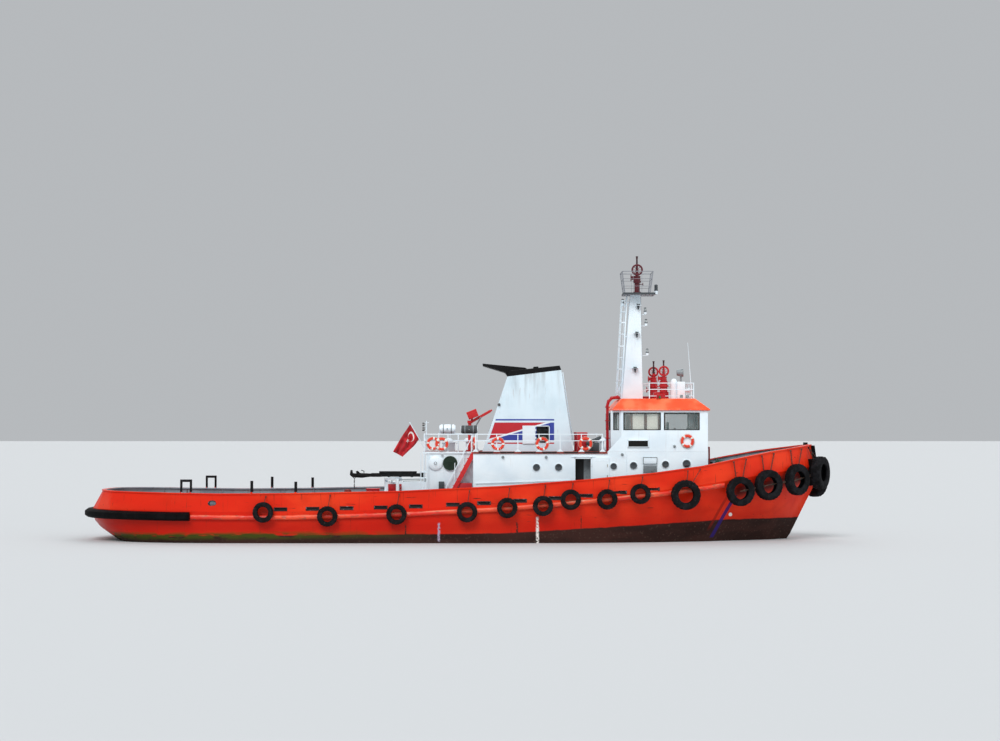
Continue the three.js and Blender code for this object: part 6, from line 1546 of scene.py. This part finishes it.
def towing_fittings():
    """Lockers and pipes of the towing casing, ribs on the arm, and cheeks and hanging chain of the hook."""
    bm = bmesh.new()
    for side in (-1, 1):
        slab(bm, (-3.786, side * 0.895, 2.394), (-3.094, side * 0.926, 2.856), 0.004)
    for z in (2.55, 2.7):
        slab(bm, (-3.2, -0.94, z - 0.02), (-3.12, -0.92, z + 0.02), 0.004, 1)
    pipe(bm, [(-3.6, -0.75, 2.94), (-3.6, -0.75, 3.06), (-2.4, -0.75, 3.1), (-1.8, -0.75, 3.1)], 0.025, 8,
         1)
    pipe(bm, [(-3.0, -0.8, 2.94), (-3.0, -0.8, 3.0), (-1.9, -0.8, 3.02), (-1.8, -0.8, 3.02)], 0.018, 8, 1)
    slab(bm, (-4.02, -0.5, 1.55), (-3.885, 0.5, 2.5), 0.01, 2)
    rod(bm, (-1.92, -0.3, 2.94), (-1.92, -0.3, 3.14), 0.05, 12, finish=1)
    slab(bm, (-4.856, -1.756, 1.79), (-4.194, -1.144, 2.62), 0.005)
    slab(bm, (-4.88, -1.78, 2.56), (-4.17, -1.12, 2.65), 0.02)
    new_piece("towing_fittings", bm, [signal_red, machine_grey, house_paint])
    bm = bmesh.new()
    for x in (-2.6, -3.2, -3.8):
        slab(bm, (x - 0.056, -0.119, 3.187), (x + 0.056, 0.119, 3.414), 0.006)
    slab(bm, (-4.3, -0.135, 3.38), (-3.7, -0.06, 3.5), 0.02)
    rod(bm, (-4.155, 0.0, 3.44), (-2.345, 0.0, 3.44), 0.06, 14)
    rod(bm, (-4.6, -0.14, 3.3), (-4.6, 0.14, 3.3), 0.07, 18)
    rod(bm, (-2.05, 0, 3.41), (-2.05, 0, 3.46), 0.13, 20)
    new_piece("tow_arm_fittings", bm, [steel_black], "tow_arm")
    bm = bmesh.new()
    for x, z in ((-5.05, 3.3), (-5.5, 3.3)):
        rod(bm, (x, -0.085, z), (x, 0.085, z), 0.05, 16)
    for side in (-1, 1):
        slab(bm, (-5.42, side * 0.055, 3.22), (-4.95, side * 0.075, 3.36), 0.012)
    pipe(bm, [(-5.1, 0, 3.36), (-5.1, 0, 3.5), (-5.25, 0, 3.55)], 0.02, 8)
    hoop(bm, (-5.6, 0.0, 3.2), (0, 1, 0), 0.07, 0.016, 20, 8)
    chain(bm, (-5.6, 0.0, 3.14), (-5.6, 0.0, 2.55), 0.09, 0.07, 0.011)
    new_piece("tow_hook_fittings", bm, [steel_black], "tow_hook")


def deck_bitt(bm, x, y, yaw=0.0):
    """A pair of capped mooring bollards on one bedplate, turned by yaw degrees."""
    place = Matrix.Translation((x, y, deck_z(x))) @ Matrix.Rotation(math.radians(yaw), 4, "Z")
    for end in (-0.32, 0.32):
        foot = place @ Vector((end, 0, -0.01))
        head = foot + Vector((0, 0, 0.56))
        rod(bm, foot, head, 0.112, 22)
        lathe(bm, [(0.112, -0.035), (0.143, -0.03), (0.143, 0.035), (0.08, 0.055), (0.001, 0.06)], head,
              (0, 0, 1), 22)
    slab(bm, (-0.556, -0.196, -0.02), (0.556, 0.196, 0.051), 0.004, matrix=place)


def main_deck_gear():
    """Bollards, the hatch, vents and the capstan of the after deck, and the bow's bollards."""
    bm = bmesh.new()
    for side in (-1, 1):
        deck_bitt(bm, -15.9, side * 3.3)
        deck_bitt(bm, -10.2, side * 3.75)
        deck_bitt(bm, 15.2, side * 2.15, -side * 23)
        z = deck_z(-6.2)
        rod(bm, (-6.2, side * 3.3, z - 0.01), (-6.2, side * 3.3, z + 0.7), 0.1, 18, finish=1)
        lathe(bm, [(0.1, -0.1), (0.19, -0.1), (0.2, -0.06), (0.17, 0.02), (0.001, 0.07)],
              (-6.2, side * 3.3, z + 0.78), (0, 0, 1), 22, 1)
    x, y, z, half = -7.3, 2.0, deck_z(-7.3), 0.456
    for reach, low, high, edge in ((half, -0.02, 0.33, 0.004), (half + 0.04, 0.32, 0.38, 0.02)):
        slab(bm, (x - reach, y - reach, z + low), (x + reach, y + reach, z + high), edge, 1)
    for dx in (-half, half):
        for dy in (-half, half):
            rod(bm, (x + dx, y + dy, z + 0.3), (x + dx, y + dy, z + 0.42), 0.025, 8)
    hoop(bm, (x, y, z + 0.44), (0, 0, 1), 0.14, 0.014, 24, 8)
    rod(bm, (x, y, z + 0.36), (x, y, z + 0.45), 0.025, 8)
    lathe(bm,
          [(0.346, -0.01), (0.346, 0.085), (0.246, 0.126), (0.176, 0.35), (0.196, 0.55), (0.272, 0.647),
           (0.272, 0.727), (0.001, 0.745)], (-17.0, 0.0, deck_z(-17.0)), (0, 0, 1), 28, 2)
    new_piece("main_deck_gear", bm, [steel_black, boat_deck_paint, deck_green])


def windlass_fittings():
    """Gypsies, motor and levers of the windlass, its chains, and pipes on the house front."""
    bm = bmesh.new()
    for side in (-1, 1):
        lathe(bm,
              [(0.108, -0.106), (0.242, -0.106), (0.242, -0.044), (0.17, -0.02), (0.17, 0.01),
               (0.242, 0.034), (0.242, 0.096), (0.108, 0.096)], (13.5, side * 0.64, 3.78), (0, side, 0), 28,
              0)
        hoop(bm, (13.32, side * 0.52, 4.08), (1, 0, 0.35), 0.13, 0.014, 24, 8, 0)
        rod(bm, (13.44, side * 0.52, 3.82), (13.32, side * 0.52, 4.08), 0.014, 8)
        pipe_deck = deck_z(15.65, 1.0)
        start, end = Vector((13.5, side * 0.635, 3.9)), Vector((15.65, side * 0.635, pipe_deck + 0.015))
        rod(bm, start, end, 0.033, 10, finish=1)
        chain(bm, start, end, 0.16, 0.12, 0.024, 1)
        lathe(bm, [(0.14, 0.0), (0.18, 0.03), (0.18, 0.1), (0.13, 0.12), (0.1, 0.02)],
              (15.65, side * 0.635, pipe_deck - 0.01), (0, 0, 1), 24)
    slab(bm, (13.044, -0.324, 3.4), (13.306, 0.324, 3.706), 0.005)
    rod(bm, (12.98, -0.3, 3.6), (12.98, 0.12, 3.6), 0.11, 20)
    pipe(bm, [(12.72, 1.2, 2.95), (12.72, 1.2, 4.3), (12.58, 1.2, 4.3)], 0.06, 12, 2)
    pipe(bm, [(12.62, -2.85, 2.95), (12.62, -2.85, 4.75), (12.52, -2.85, 4.75)], 0.045, 12, 3)
    new_piece("windlass_fittings", bm, [deck_green, chain_steel, signal_red, pipe_red])


def stem_head():
    """The roller and the black rubbing strip at the stem head, with the jack staff's socket."""
    bm = bmesh.new()
    rod(bm, (17.95, -0.22, 4.93), (17.95, 0.22, 4.93), 0.06, 18)
    for y in (-0.25, 0.25):
        slab(bm, (17.87, y - 0.02, 4.84), (18.03, y + 0.02, 5.0), 0.01)
    strip = [(18.07, 4.86), (18.16, 4.6), (18.3, 4.25)]
    for (x0, z0), (x1, z1) in zip(strip, strip[1:]):
        rod(bm, (x0, 0.0, z0), (x1, 0.0, z1), 0.1, 14)
    new_piece("stem_head_fittings", bm, [steel_black])


pipe_red = gear_enamel("dark_red_enamel", "#6e1512", "#4a120e", 0.4, 0.5)
flap_black = gear_enamel("flap_steel", "#1b1a1b", "#7a7f83", 0.55, 0.9)
bulwark_stays()
freeing_ports()
mooring_holes()
towing_fittings()
main_deck_gear()
windlass_fittings()
stem_head()


# Flag

FLAG_HOIST, FLAG_FLY = 1.0, 1.5
STAR_X = 0.82


def bunting():
    """Woven polyester bunting, red, with the white crescent and star sewn in by its own UV map."""
    made, tree, shader = blank_material("flag_bunting", 0.75, Sheen_Weight=0.4, Sheen_Roughness=0.4)
    uv = add_node(tree, "ShaderNodeUVMap", uv_map="flat_cloth").outputs["UV"]

    def reach(centre):
        """Distance from a point at half the hoist's height, in metres."""
        return add_node(tree, "ShaderNodeVectorMath", {0: uv, 1: (centre, 0.5, 0.0)},
                        operation="DISTANCE").outputs["Value"]

    crescent = ramps(tree, (reach(0.5), 0.255, 0.245), (reach(0.5625), 0.195, 0.205))
    # The star's edge stands a fixed way out along the nearest of its five points
    from_star = add_node(tree, "ShaderNodeVectorMath", {0: uv, 1: (STAR_X, 0.5, 0.0)}, operation="SUBTRACT")
    along, up, _ = add_node(tree, "ShaderNodeSeparateXYZ", {"Vector": from_star.outputs[0]}).outputs
    turn = add_node(tree, "ShaderNodeMath", {0: up, 1: along}, operation="ARCTAN2").outputs[0]
    turn = add_node(tree, "ShaderNodeMath",
                    {0: from_lines(tree, turn, math.pi / 5, math.pi), 1: 0.4 * math.pi},
                    operation="SUBTRACT").outputs[0]
    slope = add_node(tree, "ShaderNodeMath", {0: turn}, operation="COSINE").outputs[0]
    edge = add_node(tree, "ShaderNodeMath", {0: reach(STAR_X), 1: slope}, operation="MULTIPLY").outputs[0]
    weave = add_node(tree, "ShaderNodeTexWave", {"Vector": uv, "Scale": 60.0, "Distortion": 0.4})
    tone = coats(tree, "#c40f1e", ("#a30c18", patches(tree, 400.0, 0.4, 0.65)), ("#f2eeea", crescent),
                 ("#f2eeea", ramps(tree, (edge, 0.0406, 0.0366))))
    painted(tree, shader, tone, weave.outputs["Fac"], 0.6)
    return made


def flag():
    """The flag hanging aft and down from its raked staff in soft folds."""
    bm = bmesh.new()
    uv = bm.loops.layers.uv.new("flat_cloth")
    bmesh.ops.create_grid(bm, x_segments=72, y_segments=48, size=0.5)
    head, foot = Vector((-2.675, -0.06, 5.97)), Vector((-2.22, -0.06, 5.2))
    for vert in bm.verts:
        u, v = vert.co.x + 0.5, vert.co.y + 0.5
        for loop in vert.link_loops:
            loop[uv].uv = (u * FLAG_FLY, v)
        upper = head + Vector((-0.36 * u - 0.55 * u * u, 0, -0.42 * u - 1.02 * u * u))
        lower = foot + Vector((-0.42 * u - 0.44 * u * u, 0, -0.78 * u - 0.16 * u * u))
        place = lower.lerp(upper, v)
        free = min(1.0, u * 2.2)
        fold = 0.105 * free * math.sin(2 * math.pi * (1.75 * u + 0.85 * v) + 0.4)
        fold += 0.05 * free * math.sin(2 * math.pi * (0.6 * u + 2.3 * v) + 1.2)
        fold += 0.018 * free * math.sin(2 * math.pi * (4.1 * u - 1.2 * v))
        place.y += fold
        place.z += 0.02 * free * math.sin(2 * math.pi * (1.3 * u + 0.3))
        vert.co = place
    piece = new_piece("national_flag", bm, [bunting()], sharp=180)
    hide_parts("flag")


flag()


# Floor at the waterline, backdrop light and camera view

def studio():
    """A pale floor at the waterline and soft light from above and the camera's side."""
    bm = bmesh.new()
    bmesh.ops.create_grid(bm, x_segments=1, y_segments=1, size=900.0)
    mesh = bpy.data.meshes.new("floor")
    bm.to_mesh(mesh)
    bm.free()
    floor = bpy.data.objects.new("floor", mesh)
    SCENE.collection.objects.link(floor)
    made, tree, shader = blank_material("pale_floor", 0.85)
    shader.inputs["Base Color"].default_value = linear("#c8cbcd")
    mesh.materials.append(made)
    # name, strength, angle in degrees, direction that the light comes from
    for name, power, spread, place in (
            ("key", 1.85, 30, (-0.35, -1.0, 1.1)), ("fill", 0.7, 60, (1.0, -0.6, 0.5)),
            ("back", 0.9, 60, (0.1, 1.0, 0.9))):
        light = bpy.data.lights.new(name, "SUN")
        light.energy = power
        light.angle = math.radians(spread)
        lamp = bpy.data.objects.new(name, light)
        lamp.location = Vector(place) * 50
        lamp.rotation_euler = (-Vector(place)).to_track_quat("-Z", "Y").to_euler()
        SCENE.collection.objects.link(lamp)
    world = bpy.data.worlds.new("soft_sky")
    world.use_nodes = True
    sky = world.node_tree.nodes["Background"]
    sky.inputs["Color"].default_value = linear("#eef2f6")
    sky.inputs["Strength"].default_value = 0.55
    SCENE.world = world


studio()
